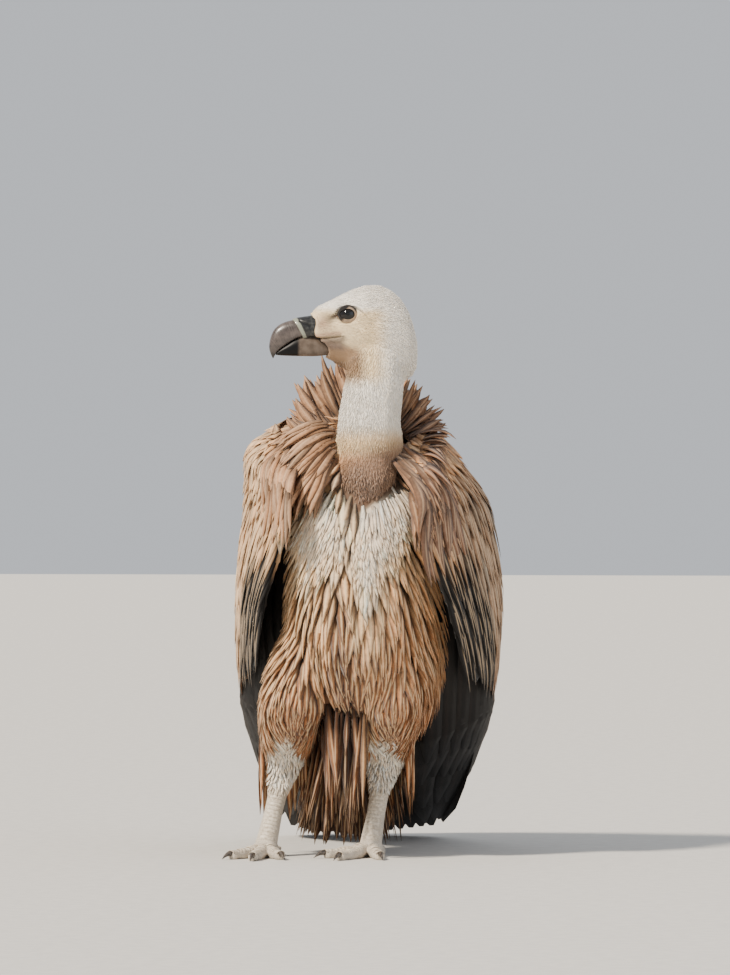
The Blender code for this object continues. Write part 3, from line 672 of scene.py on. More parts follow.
relief = add(tree, "Mix", {0: bare, 2: fluff, 3: joint}, data_type="FLOAT")
raised = add(tree, "Bump", {"Height": relief, "Strength": 0.35, "Distance": 0.0006})
surfaced(tree, {"Base Color": colour, "Normal": raised, "Roughness": 0.82, "Sheen Weight": 0.15,
                "Sheen Roughness": 0.5, "Specular IOR Level": 0.3})

skin_corners = corners_of(skin_mesh)
skin_marks = marking(skin_corners)
own = skin_corners - ground_at
skin_kinds = kinds_at(skin_corners)
# under the black lower coverts the hide is painted black, partly dark plumage and partly painted shade,
# and between the lances it is darkened as painted shade
outer = np.maximum(0.0, np.abs(own[:, 0] - 0.05) - 0.085)
low_wing = (skin_kinds == "wing_coverts") * fade(0.345, 0.325, own[:, 2] + 0.9 * outer)
low_wing = low_wing * fade(0.06, 0.02, own[:, 1])
skin_marks = blend(skin_marks, BLACK, low_wing)
deep = fade(0.455, 0.42, own[:, 2]) * fade(0.12, 0.16, own[:, 2])
deep = deep * fade(0.6, 0.4, skin_marks[:, 2])
skin_marks = skin_marks * (1 - 0.5 * deep[:, None])
# painted shade: the hide under the vent is darker towards the floor
under_vent_shade = (skin_kinds == "vent") * fade(0.16, 0.12, own[:, 2])
skin_marks = skin_marks * (1 - 0.65 * under_vent_shade[:, None])
lid_start = len(skin_corners) - len(lid_mesh.vertices) - len(limb_mesh.vertices)
lid_dark, lid_pale = (linear(colour) for colour in LID_COLOURS)
for i in range(len(lid_mesh.vertices)):
    step, row = divmod(i, len(LID_PROFILE))
    turn = 2 * math.pi * (step % LID_STEPS) / LID_STEPS
    # painted shade: in the eye's front corner and on the upper lid under the brow the lid is painted dark;
    # the inner rows are the lid's own dark rim
    fore_corner_shade = fade(0.45, 0.8, math.cos(turn))
    fronty = fade(-0.25, 0.45, math.cos(turn))
    brow_row = 4.5 - 3.0 * fronty      # in front the dark of the brow begins nearer the rim
    brow_shade = fade(0.05, 0.5, math.sin(turn)) * fade(brow_row, brow_row + 1.5, row)
    dark_share = max(fore_corner_shade, brow_shade, 1.0 if row <= 2 else 0.0)
    skin_marks[lid_start + i] = lid_pale * (1 - dark_share) + lid_dark * dark_share
paint(skin_mesh, "plumage", skin_marks)
bareness = skin_mesh.attributes.new("bareness", "FLOAT", "POINT")
bare_share = np.zeros(len(skin_corners), np.float32)
bare_share[lid_start + len(lid_mesh.vertices):] = 1.0
bareness.data.foreach_set("value", bare_share)
skin_mesh.materials.append(hide)

# the hide is cut and laid flat, as a skinner would, to give every tuft a place on its own flat map
bpy.context.view_layer.objects.active = skin
skin.select_set(True)
skin_mesh.uv_layers.new(name="OFBake")
bpy.ops.object.mode_set(mode="EDIT")
bpy.ops.mesh.select_all(action="SELECT")
bpy.ops.uv.smart_project(angle_limit=math.radians(66), island_margin=0.0008)
bpy.ops.object.mode_set(mode="OBJECT")
skin.select_set(False)
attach(skin, "root")
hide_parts(*flesh, *["toe_%s_%s" % (toe, word) for word in sides for toe in TOES])

loops = numbers_of(skin_mesh.uv_layers["OFBake"].data, "uv", 2).reshape(-1, 3, 2)
triangles = numbers_of(skin_mesh.loops, "vertex_index", 1, np.int32).reshape(-1, 3)
skin_tree = BVHTree.FromPolygons(skin_corners.tolist(), triangles.tolist())


def flat_places(points):
    """Where places on the bird lie on the hide's flat map."""
    found = np.zeros((len(points), 2))
    for i, point in enumerate(points):
        at, _, face, _ = skin_tree.find_nearest(point)
        a, b, c = skin_corners[triangles[face]]
        p = np.array(at)
        whole = np.linalg.norm(np.cross(b - a, c - a)) + 1e-15
        share_b = np.linalg.norm(np.cross(p - a, c - a)) / whole
        share_c = np.linalg.norm(np.cross(b - a, p - a)) / whole
        uv = loops[face]
        found[i] = uv[0] * (1 - share_b - share_c) + uv[1] * share_b + uv[2] * share_c
    return found


# ---- eyes ----
# A wet ball with a black pupil and a dark brown iris under a clear bulging front. It is one closed
# ball in the lids, its rings of colour laid out from the axis the eye looks along.
EYE_RINGS, EYE_SIDES = 40, 48
PUPIL, IRIS_EDGE = 0.36, 0.66    # radians from the axis
CORNEA_RISE, CORNEA_WIDE = 0.07, 0.38   # share of the ball's radius, and radians

eyeball, tree = new_finish("wet_eye")
off_axis = mapped(tree, "gaze")
round_it = off_axis.node.outputs[1]
spokes = add(tree, "CombineXYZ", {0: off_axis, 1: round_it})
stretched = add(tree, "Mapping", {0: spokes, "Scale": (4.0, 60.0, 1.0)})
fibres = add(tree, "TexNoise", {"Vector": stretched, "Scale": 1.0, "Detail": 3.0})
fibre = add(tree, "MapRange", {0: fibres, 1: 0.35, 2: 0.65}, **SOFTLY)
brown = add(tree, "Mix", {0: fibre, 6: linear("080403"), 7: linear("140B06")}, **OVER)
past_pupil = add(tree, "MapRange", {0: off_axis, 1: PUPIL - 0.02, 2: PUPIL + 0.02}, **SOFTLY)
colour = add(tree, "Mix", {0: past_pupil, 6: linear("040303"), 7: brown}, **OVER)
past_iris = add(tree, "MapRange", {0: off_axis, 1: IRIS_EDGE - 0.05, 2: IRIS_EDGE + 0.03}, **SOFTLY)
colour = add(tree, "Mix", {0: past_iris, 6: colour, 7: linear("0C0807")}, **OVER)
surfaced(tree, {"Base Color": colour, "Roughness": 0.1, "IOR": 1.376, "Specular IOR Level": 0.0,
                "Coat Weight": 1.0, "Coat Roughness": 0.03})


def new_piece(name, mesh, finish, nodes):
    """A finished piece of the bird: it rides the body and stands for the frame's nodes named."""
    mesh.materials.append(finish)
    mesh.shade_smooth()
    made = placed(name, mesh)
    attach(made, "root")
    if nodes:
        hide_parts(*nodes)
    return made


for word in sides:
    out, front, high = eye_frame(word)
    high = out.cross(front) * side_of[word]
    eye_middle = eye_middles[word]
    bm = bmesh.new()
    gaze_layer = bm.loops.layers.uv.new("gaze")
    pole = bm.verts.new(eye_middle + out * eye_radius)
    rows = []
    angle_of = {pole: 0.0}
    for i in range(1, EYE_RINGS):
        angle = math.pi * i / EYE_RINGS
        cornea = 1.0 + CORNEA_RISE * math.exp(-(angle / CORNEA_WIDE) ** 2)
        row = []
        for j in range(EYE_SIDES):
            turn = 2 * math.pi * j / EYE_SIDES
            spoke = front * math.cos(turn) + high * math.sin(turn)
            ray = out * math.cos(angle) + spoke * math.sin(angle)
            corner = bm.verts.new(eye_middle + ray * eye_radius * cornea)
            angle_of[corner] = angle
            row.append(corner)
        rows.append(row)
    back = bm.verts.new(eye_middle - out * eye_radius)
    angle_of[back] = math.pi
    for j in range(EYE_SIDES):
        after = (j + 1) % EYE_SIDES
        bm.faces.new((pole, rows[0][j], rows[0][after]))
        bm.faces.new((back, rows[-1][after], rows[-1][j]))
        for low_row, high_row in zip(rows, rows[1:]):
            bm.faces.new((low_row[j], high_row[j], high_row[after], low_row[after]))
    for face in bm.faces:
        off = face.calc_center_median() - eye_middle
        middle_turn = math.atan2(off.dot(high), off.dot(front))
        for loop in face.loops:
            off = loop.vert.co - eye_middle
            turn = math.atan2(off.dot(high), off.dot(front))
            near_turn = middle_turn + (turn - middle_turn + math.pi) % (2 * math.pi) - math.pi
            if loop.vert in (pole, back):
                near_turn = middle_turn
            loop[gaze_layer].uv = (angle_of[loop.vert], near_turn / (2 * math.pi) + 0.5)
    bmesh.ops.recalc_face_normals(bm, faces=bm.faces[:])
    new_piece("eyeball_" + word, mesh_of(bm, "eyeball_" + word), eyeball, ["eye_" + word])


# ---- bill and cere ----
# The bill is two sheaths of horn on bone, the upper one hooked over the lower. The cere is bare skin
# over its root, black with a pale edge in front, and holds the slanting slits of the nostrils.
BILL_RINGS, BILL_SIDES = 64, 40
CULMEN = ((0.066, 0.004), (0.086, 0.0018), (0.0965, -0.0002), (0.1055, -0.0042), (0.1125, -0.011),
          (0.1163, -0.0205), (0.1175, -0.03), (0.116, -0.037), (0.113, -0.0432))
EDGE = ((0.066, -0.018), (0.08, -0.0192), (0.0885, -0.0225), (0.096, -0.0268), (0.101, -0.03),
        (0.1055, -0.0332), (0.1085, -0.0362), (0.1105, -0.0395), (0.1124, -0.0428))
WIDTHS = (0.0118, 0.0112, 0.01, 0.009, 0.0078, 0.0063, 0.0045, 0.0026, 0.0007)
MANDIBLE = ((0.1095, -0.0362, -0.0392, 0.0036), (0.104, -0.0305, -0.0397, 0.0058),
            (0.097, -0.025, -0.0399, 0.0078), (0.088, -0.0185, -0.04, 0.0093),
            (0.076, -0.0145, -0.04, 0.0106), (0.062, -0.016, -0.0396, 0.0104),
            (0.046, -0.0205, -0.0375, 0.0074))
CERE = ((0.085, 0.0022, -0.0205, 0.0117), (0.081, 0.0038, -0.02, 0.0127),
        (0.076, 0.0052, -0.0194, 0.0132), (0.07, 0.0066, -0.0187, 0.0135),
        (0.06, 0.0084, -0.0183, 0.0138))
CERE_SLANT = 0.56        # the cere's front edge runs back as it goes down, by this much of its height
NOSTRIL = ((0.084, -0.0002), (0.0728, -0.0052))   # forward and up, the ends of the slit
NOSTRIL_DEPTH = 0.0007


def along_curve(points, at):
    """Places on a smooth curve through the points, at an array of places along it."""
    pts = np.array(points, float)
    padded = np.vstack([2 * pts[0] - pts[1], pts, 2 * pts[-1] - pts[-2]])
    i = np.clip(at.astype(int), 0, len(pts) - 2)
    f = (at - i)[..., None]
    a, b, c, d = padded[i], padded[i + 1], padded[i + 2], padded[i + 3]
    return b + 0.5 * f * (c - a + f * (2 * a - 5 * b + 4 * c - d + f * (3 * (b - c) + d - a)))


def through(points, count):
    """Places along that curve, evenly spaced in its parameter."""
    return along_curve(points, np.linspace(0, len(points) - 1, count))


def sheath(name, rings, finish, node):
    """A closed horn sheath lofted through rings of points, with its own along and round map."""
    bm = bmesh.new()
    horn_layer = bm.loops.layers.uv.new("horn")
    loops = [[bm.verts.new(p) for p in ring] for ring in rings]
    count = len(loops[0])
    for k, (low, high) in enumerate(zip(loops, loops[1:])):
        for i in range(count):
            after = (i + 1) % count
            face = bm.faces.new((low[i], low[after], high[after], high[i]))
            spots = ((k, i), (k, i + 1), (k + 1, i + 1), (k + 1, i))
            for loop, (ring_at, round_at) in zip(face.loops, spots):
                loop[horn_layer].uv = (round_at / count, ring_at / (len(loops) - 1))
    for ring, at in ((loops[0][::-1], 0.0), (loops[-1], 1.0)):
        for loop in bm.faces.new(ring).loops:
            loop[horn_layer].uv = (0.5, at)
    bmesh.ops.recalc_face_normals(bm, faces=bm.faces[:])
    return new_piece(name, mesh_of(bm, name), finish, [node])


def bill_ring(high, low, width, sides_round, hollow):
    """A ring across the bill: round above, keel-sided below, with sharp cutting edges."""
    ring = []
    middle, tall = (high + low) / 2, (high - low).length / 2
    rise = (high - low).normalized()
    for i in range(sides_round):
        turn = 2 * math.pi * (i + 0.5) / sides_round
        c, s = math.cos(turn), math.sin(turn)
        square = 2.1 if s > 0 else 3.4
        c = math.copysign(abs(c) ** (2 / square), c)
        s = math.copysign(abs(s) ** (2 / square), s)
        lift = hollow * max(0.0, -s) ** 2 * (1 - c * c)
        ring.append(middle + leftward * (width * c) + rise * (tall * s + lift))
    return ring


horn, tree = new_finish("bill_horn")
spot, cloud, colour = clouded(tree, 140.0, 5.0, 0.3, 0.7, "2E2624", "5B504B")
along_bill = mapped(tree, "horn").node.outputs[1]
# growth rings of the horn, about 1.2 mm apart, and fine wear lines of 0.9 mm
GROWTH_RINGS = 55.0      # rings from the bill's root to its tip
place = add(tree, "Math", {0: along_bill, 1: GROWTH_RINGS}, operation="MULTIPLY")
growth = add(tree, "TexNoise", {"W": place, "Scale": 1.0, "Detail": 2.0}, noise_dimensions="1D")
wear = add(tree, "TexNoise", {"Vector": spot, "Scale": 1 / 0.0009, "Detail": 2.0})
ringed = add(tree, "MapRange", {0: growth, 1: 0.35, 2: 0.65, 4: 0.35}, **SOFTLY)
colour = add(tree, "Mix", {0: ringed, 6: colour, 7: linear("6A605A")}, **OVER)
tip = add(tree, "MapRange", {0: along_bill, 1: 0.62, 2: 0.98}, **SOFTLY)
colour = add(tree, "Mix", {0: tip, 6: colour, 7: linear("16110F")}, **OVER)
relief = add(tree, "Math", {0: growth, 1: wear}, operation="ADD")
raised = add(tree, "Bump", {"Height": relief, "Strength": 0.12, "Distance": 0.0005})
rough = add(tree, "MapRange", {0: wear, 1: 0.3, 2: 0.7, 3: 0.26, 4: 0.42}, **SOFTLY)
surfaced(tree, {"Base Color": colour, "Roughness": rough, "Normal": raised, "IOR": 1.54,
                "Coat Weight": 0.25, "Coat Roughness": 0.15})

rings = []
tops, bottoms = through(CULMEN, BILL_RINGS), through(EDGE, BILL_RINGS)
spans = through([(w,) for w in WIDTHS], BILL_RINGS)[:, 0]
for k, (top, bottom, width) in enumerate(zip(tops, bottoms, spans)):
    high, low = on_head(top[0], 0, top[1]), on_head(bottom[0], 0, bottom[1])
    hollow = 0.0022 * (1 - k / BILL_RINGS)      # the palate's vault
    rings.append(bill_ring(high, low, max(float(width), 0.0005), BILL_SIDES, hollow))
sheath("upper_bill", rings, horn, "bill_upper")

pale_horn, tree = new_finish("lower_bill_horn")
spot, cloud, colour = clouded(tree, 160.0, 4.0, 0.3, 0.7, "55493F", "6C5F54")
along_bill = mapped(tree, "horn").node.outputs[1]
# the mandible's front, inside the hook, is painted near black: partly its own dark tip, partly painted
# shade under the upper bill
in_front = add(tree, "MapRange", {0: along_bill, 1: 0.59, 2: 0.52}, **SOFTLY)
colour = add(tree, "Mix", {0: in_front, 6: colour, 7: linear("040303")}, **OVER)
surfaced(tree, {"Base Color": colour, "Roughness": 0.42, "IOR": 1.54, "Specular IOR Level": 0.22})

rings = []
for forward_at, top, bottom, width in through(MANDIBLE, 40):
    high, low = on_head(forward_at, 0, top - 0.0003), on_head(forward_at, 0, bottom)
    rings.append(bill_ring(high, low, width * 0.985, 32, 0.0))
sheath("lower_bill", rings, pale_horn, "bill_lower")

cere_skin, tree = new_finish("bare_cere_skin")
spot, cloud, colour = clouded(tree, 260.0, 3.0, 0.35, 0.85, "0D0D0F", "4A4A47")
along_bill = mapped(tree, "horn").node.outputs[1]
pores = add(tree, "TexNoise", {"Vector": spot, "Scale": 1 / 0.0011, "Detail": 3.0})
wavy = add(tree, "Math", {0: cloud, 1: 0.08, 2: along_bill}, operation="MULTIPLY_ADD")
pale_edge = add(tree, "MapRange", {0: wavy, 1: 0.33, 2: 0.26}, **SOFTLY)
colour = add(tree, "Mix", {0: pale_edge, 6: colour, 7: linear("8D9080")}, **OVER)
# painted shade: the nostril's slit is painted near black for the dark inside the opening
pit = add(tree, "Attribute", attribute_name="pit", out="Fac")
colour = add(tree, "Mix", {0: pit, 6: colour, 7: linear("050404")}, **OVER)
raised = add(tree, "Bump", {"Height": pores, "Strength": 0.2, "Distance": 0.0004})
surfaced(tree, {"Base Color": colour, "Normal": raised, "Roughness": 0.38, "Specular IOR Level": 0.5,
                "Coat Weight": 0.15})

rings = []
for forward_at, top, bottom, width in through(CERE, 56):
    swell = 1.0 + 0.035 * math.exp(-((forward_at - 0.0835) / 0.0022) ** 2)
    ring = bill_ring(on_head(forward_at, 0, top), on_head(forward_at, 0, bottom), width * swell, 96, 0.0)
    slanted = CERE_SLANT * float(fade(0.066, 0.085, forward_at))
    middle = on_head(forward_at, 0, (top + bottom) / 2)
    rings.append([p + ahead * ((p - middle).dot(upward) * slanted) for p in ring])
cere = sheath("bare_cere", rings, cere_skin, "cere")
spots = corners_of(cere.data)
fore, aside, high = head_measures(spots)
slit_top, slit_low = np.array(NOSTRIL[0]), np.array(NOSTRIL[1])
flat = np.stack([fore, high], axis=1)
run = slit_low - slit_top
share = np.clip(((flat - slit_top) @ run) / (run @ run), 0, 1)
off = np.linalg.norm(flat - (slit_top + share[:, None] * run), axis=1)
slit = fade(0.0021, 0.0009, off) * fade(0.006, 0.009, np.abs(aside))
inward = -np.sign(aside) * slit * NOSTRIL_DEPTH
move_corners(cere.data, spots + inward[:, None] * left_way)
pits = cere.data.attributes.new("pit", "FLOAT", "POINT")
pits.data.foreach_set("value", fade(0.0019, 0.0011, off).astype(np.float32) * (slit > 0))


# ---- claws ----
# Blunt curved horn on each toe, worn by walking. It grows out of the last joint of the toe and lies
# with its tip on the floor.
CLAW_RADIUS, CLAW_RINGS, CLAW_SIDES = 0.0042, 20, 18
claw_horn, tree = new_finish("worn_claw_horn")
spot, cloud, colour = clouded(tree, 420.0, 4.0, 0.35, 0.65, "2A2522", "5D544C")
raised = add(tree, "Bump", {"Height": cloud, "Strength": 0.15, "Distance": 0.0003})
surfaced(tree, {"Base Color": colour, "Normal": raised, "Roughness": 0.38, "IOR": 1.54,
                "Coat Weight": 0.15})

for word in sides:
    for toe in TOES:
        path, radii, way = toe_line(word, toe, 24)
        root = path[-1] - way * 0.0035
        length = 0.0165 if toe == "hind" else 0.0205
        rings = []
        for t in np.arange(CLAW_RINGS) / (CLAW_RINGS - 1):
            bend = 0.0058 + 0.0018 * math.sin(math.pi * t) - 0.0046 * t * t
            middle = Vector((root.x, root.y, 0)) + way * (length * t) + Vector((0, 0, bend))
            radius = max(CLAW_RADIUS * (1 - t) ** 0.62, 0.0005)
            across = way.cross(Vector((0, 0, 1))) * (radius * 0.86)
            ring = []
            for j in range(CLAW_SIDES):
                turn = 2 * math.pi * j / CLAW_SIDES
                at = middle + across * math.cos(turn) + Vector((0, 0, math.sin(turn) * radius))
                at.z = max(at.z, 0.0003)
                ring.append(at)
            rings.append(ring)
        sheath("claw_tip_%s_%s" % (toe, word), rings, claw_horn, "claw_%s_%s" % (toe, word))


# ---- scutes of the feet ----
# Hard overlapping plates of keratin along the toes' tops and the shanks' fronts, grown from the skin
# under them. One arched plate is repeated along each toe's and each shank's line.
SCUTE_STEP = 0.0043      # metres from plate to plate
PLATE_SHARE = 0.62       # of each plate's length that the next one leaves bare
PLATE_ARC = math.radians(64.0)
# place along the limb and height over its middle, in the plate's own length and girth, round its section
PLATE_ROWS = ((-0.4, 0.955), (-0.34, 1.01), (-0.05, 1.045), (0.26, 1.07), (0.36, 1.05), (0.4, 0.975),
              (0.3, 0.9), (-0.3, 0.9))
plate = bmesh.new()
plate_map = plate.loops.layers.uv.new("plate")
grid = []
for x, height in PLATE_ROWS:
    row = []
    for a in np.linspace(-PLATE_ARC, PLATE_ARC, 9):
        round_share = abs(a / PLATE_ARC)
        tall = height * (1.0 - 0.055 * round_share ** 4)
        reach = x * (1 - 0.25 * round_share ** 2)
        row.append(plate.verts.new((reach, math.sin(a) * tall, math.cos(a) * tall)))
    grid.append(row)
for i, row in enumerate(grid):
    after = grid[(i + 1) % len(grid)]
    for j in range(8):
        face = plate.faces.new((row[j], row[j + 1], after[j + 1], after[j]))
        for loop, (u, v) in zip(face.loops, ((j, i), (j + 1, i), (j + 1, i + 1), (j, i + 1))):
            loop[plate_map].uv = (u / 8, min(v, 5) / 5)
plate.faces.new([row[0] for row in grid])
plate.faces.new([row[-1] for row in reversed(grid)])
bmesh.ops.recalc_face_normals(plate, faces=plate.faces[:])
plate_mesh = mesh_of(plate, "scute_plate")
plate_mesh.shade_smooth()
plate_object = placed("scute_plate", plate_mesh)

scute_finish, tree = new_finish("scute_keratin")
spot, cloud, colour = clouded(tree, 330.0, 5.0, 0.35, 0.65, "D8CDBC", "B5A896")
lengthways = mapped(tree, "plate").node.outputs[1]
at_root = add(tree, "MapRange", {0: lengthways, 1: 0.35, 2: 0.0, 4: 0.75}, **SOFTLY)
colour = add(tree, "Mix", {0: at_root, 6: colour, 7: linear("6F6255")}, **OVER)
at_tip = add(tree, "MapRange", {0: lengthways, 1: 0.8, 2: 1.0, 4: 0.45}, **SOFTLY)
colour = add(tree, "Mix", {0: at_tip, 6: colour, 7: linear("8C7E6E")}, **OVER)
raised = add(tree, "Bump", {"Height": cloud, "Strength": 0.4, "Distance": 0.0003})
surfaced(tree, {"Base Color": colour, "Normal": raised, "Roughness": 0.55, "Specular IOR Level": 0.4,
                "IOR": 1.54})

line_bm = bmesh.new()
girths, tops = [], []


def scute_line(path, radii, snug, top):
    """One line that plates follow: how thick the limb is at each place, and which way its top faces."""
    made = [line_bm.verts.new(p) for p in path]
    for low, high in zip(made, made[1:]):
        line_bm.edges.new((low, high))
    girths.extend(r * snug for r in radii)
    tops.extend([top] * len(path))


for word in sides:
    for toe in TOES:
        path, radii, way = toe_line(word, toe, 30)
        scute_line(path[3:], radii[3:], 0.985, (0, 0, 1))
    path, radii = shank_lines[word]
    scute_line(path[6:-1], radii[6:-1], 0.975, (0, -1, 0.1))
line_mesh = mesh_of(line_bm, "scute_lines")
line_mesh.attributes.new("girth", "FLOAT", "POINT").data.foreach_set("value", np.array(girths, np.float32))
line_mesh.attributes.new("top", "FLOAT_VECTOR", "POINT").data.foreach_set(
    "vector", np.array(tops, np.float32).ravel())
lines_object = placed("scute_lines", line_mesh)

tree = bpy.data.node_groups.new("scutes_along_lines", "GeometryNodeTree")
inputs = {name: tree.interface.new_socket(name, in_out="INPUT", socket_type="NodeSocket" + kind)
          for name, kind in (("Lines", "Geometry"), ("Plate", "Object"), ("Step", "Float"),
                             ("Plate length", "Float"))}
tree.interface.new_socket("Scutes", in_out="OUTPUT", socket_type="NodeSocketGeometry")
lines_in = add(tree, "NodeGroupInput", out="Lines")
given = lines_in.node.outputs
curve = add(tree, "GeometryNodeMeshToCurve", {0: lines_in})
even = add(tree, "GeometryNodeResampleCurve", {"Curve": curve, "Length": given["Step"]}, mode="LENGTH")
girth = add(tree, "GeometryNodeInputNamedAttribute", {"Name": "girth"}, data_type="FLOAT")
top = add(tree, "GeometryNodeInputNamedAttribute", {"Name": "top"}, data_type="FLOAT_VECTOR")
forth = add(tree, "GeometryNodeInputTangent")
turned = add(tree, "FunctionNodeAlignRotationToVector", {"Vector": forth}, axis="X")
turned = add(tree, "FunctionNodeAlignRotationToVector", {"Rotation": turned, "Vector": top},
             axis="Z", pivot_axis="X")
size = add(tree, "CombineXYZ", {0: given["Plate length"], 1: girth, 2: girth})
shape = add(tree, "GeometryNodeObjectInfo", {"Object": given["Plate"]}, out="Geometry")
repeated = add(tree, "GeometryNodeInstanceOnPoints",
               {"Points": even, "Instance": shape, "Rotation": turned, "Scale": size})
real = add(tree, "GeometryNodeRealizeInstances", {0: repeated})
coloured = add(tree, "GeometryNodeSetMaterial", {"Geometry": real, "Material": scute_finish})
add(tree, "NodeGroupOutput", {0: coloured})
rows = lines_object.modifiers.new("scutes", "NODES")
rows.node_group = tree
rows[inputs["Plate"].identifier] = plate_object
rows[inputs["Step"].identifier] = SCUTE_STEP
rows[inputs["Plate length"].identifier] = SCUTE_STEP / PLATE_SHARE
drawn = lines_object.evaluated_get(bpy.context.evaluated_depsgraph_get())
scute_mesh = bpy.data.meshes.new_from_object(drawn)
lines_object.modifiers.clear()
for spare in (lines_object, plate_object):
    bpy.data.objects.remove(spare)
scutes = placed("scutes", scute_mesh)
low = corners_of(scute_mesh)
low[:, 2] = np.maximum(low[:, 2], 0.0006)      # no plate goes through the floor
move_corners(scute_mesh, low)
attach(scutes, "root")


# ---- tail ----
# Fourteen stiff feathers in a shallow fan, worn at the tip by the ground; three rows of coverts come over
# their roots later. Each is one thin closed vane, raised along its shaft and drooping at its edges.
TAIL_FEATHERS, TAIL_LENGTH, TAIL_SLOPE = 14, 0.28, math.radians(38.0)
TRAIL = 0.105            # the tail and wing tips swing this share of their run to the bird's right
TUFT_PATCH = 0.003       # how large each tuft's patch is on the hide's flat map
VANE_THICK, QUILL_THICK = 0.0005, 0.0008     # of a soft vane and of a stiff flight feather
BARB_GAP = 0.8           # millimetres between the barbs drawn on a vane, coarser than real ones
BARB_SLANT = -0.3       # how far down the vane a barb starts for each share of the way out
rng = np.random.default_rng(7)


def lance(t, fullest=0.45, point=1.3):
    """The outline of a lance-shaped vane from root to tip, at most 1."""
    rise = np.clip(t / fullest, 0, 1) ** 0.55
    fall = 1 - np.clip((t - fullest) / (1 - fullest), 0, 1) ** point
    return np.maximum(0.3 * (1 - t) * (t < fullest) + 0.06, rise * fall)


def blade(t):
    """The outline of a flight feather: nearly parallel, with a rounded tip."""
    tip = np.clip((t - 0.78) / 0.22, 0, 1)
    return np.maximum(0.16, np.minimum(1.0, 0.35 + 1.6 * t) * np.sqrt(1 - tip ** 2.6))


def unit(vectors):
    return vectors / np.maximum(np.linalg.norm(vectors, axis=-1, keepdims=True), 1e-9)


def mesh_from(name, corners, faces, vane_map, roots, colours):
    """A mesh from arrays: corners, faces as rows of corner numbers, then a root and colour by tuft."""
    each = len(corners) // len(roots)
    mesh = bpy.data.meshes.new(name)
    mesh.vertices.add(len(corners))
    mesh.vertices.foreach_set("co", corners.astype(np.float32).ravel())
    sizes = np.concatenate([np.full(len(f), f.shape[1]) for f in faces])
    numbers = np.concatenate([f.ravel() for f in faces])
    mesh.loops.add(len(numbers))
    mesh.loops.foreach_set("vertex_index", numbers.astype(np.int32))
    mesh.polygons.add(len(sizes))
    starts = np.concatenate([[0], np.cumsum(sizes)[:-1]])
    mesh.polygons.foreach_set("loop_start", starts.astype(np.int32))
    mesh.polygons.foreach_set("loop_total", sizes.astype(np.int32))
    mesh.update(calc_edges=True)
    mesh.validate()
    patches = np.repeat(flat_places(roots), each, axis=0) + (vane_map - 0.5) * TUFT_PATCH
    for layer, places_on in (("vane", vane_map), ("OFBake", patches)):
        drawn = mesh.uv_layers.new(name=layer)
        drawn.data.foreach_set("uv", places_on[numbers].astype(np.float32).ravel())
    paint(mesh, "plumage", np.repeat(colours, each, axis=0))
    return mesh


def vanes(name, lines, ups, widths, outline, colours, finish, nodes=None,
          thick=VANE_THICK, droop=0.22, points=6):
    """A piece of closed feathers along centre lines: lines and ups are (feather, station, xyz) arrays."""
    count, stations = lines.shape[:2]
    along = unit(np.gradient(lines, axis=1))
    across = unit(np.cross(along, ups))
    above = np.cross(across, along)
    half = widths[:, None] * outline[None, :]
    half = half[..., None]
    body = thick * np.minimum(1.0, half / widths.max() * 1.6)
    left = lines - across * half - above * half * droop
    right = lines + across * half - above * half * droop
    top = lines + above * body
    under = lines - above * body * 0.5 - above * half * droop * 0.35
    if points == 4:
        ring = [left, top, right, under]
        sides_map = [0.0, 0.5, 1.0, 0.5]
    else:
        shoulder = above * body * 0.45 - above * half * droop * 0.28
        ring = [left, lines - across * half * 0.5 + shoulder, top, lines + across * half * 0.5 + shoulder,
                right, under]
        sides_map = [0.0, 0.25, 0.5, 0.75, 1.0, 0.5]
    size = len(ring)
    corners = np.stack(ring, axis=2).reshape(-1, 3)
    base = np.arange(count)[:, None, None] * stations * size
    station = np.arange(stations - 1)[None, :, None] * size
    here = np.arange(size)[None, None, :]
    after = (here + 1) % size
    quads = np.stack([base + station + here, base + station + after, base + station + size + after,
                      base + station + size + here], axis=-1).reshape(-1, 4)
    first = np.arange(count)[:, None] * stations * size
    roots_cap = first + np.arange(size)[None, ::-1]
    tips_cap = first + (stations - 1) * size + np.arange(size)[None, :]
    vane_map = np.zeros((count, stations, size, 2))
    vane_map[..., 0] = np.array(sides_map)
    vane_map[..., 1] = np.linspace(0, 1, stations)[None, :, None]
    mesh = mesh_from(name, corners, [quads, roots_cap, tips_cap], vane_map.reshape(-1, 2), lines[:, 0],
                     colours)
    return new_piece(name, mesh, finish, nodes)


def alike(colour, count):
    """One colour for each of a number of feathers."""
    return np.tile(colour, (count, 1))


def toned(colours, amount=0.14, warm=0.05):
    """Feathers differ a little from each other in lightness and warmth."""
    light = 1 + amount * rng.standard_normal((len(colours), 1))
    tint = 1 + warm * rng.standard_normal((len(colours), 1)) * np.array((1.0, 0.0, -1.0))
    return np.clip(colours * light.clip(0.6, 1.5) * tint, 0.002, 1.0)


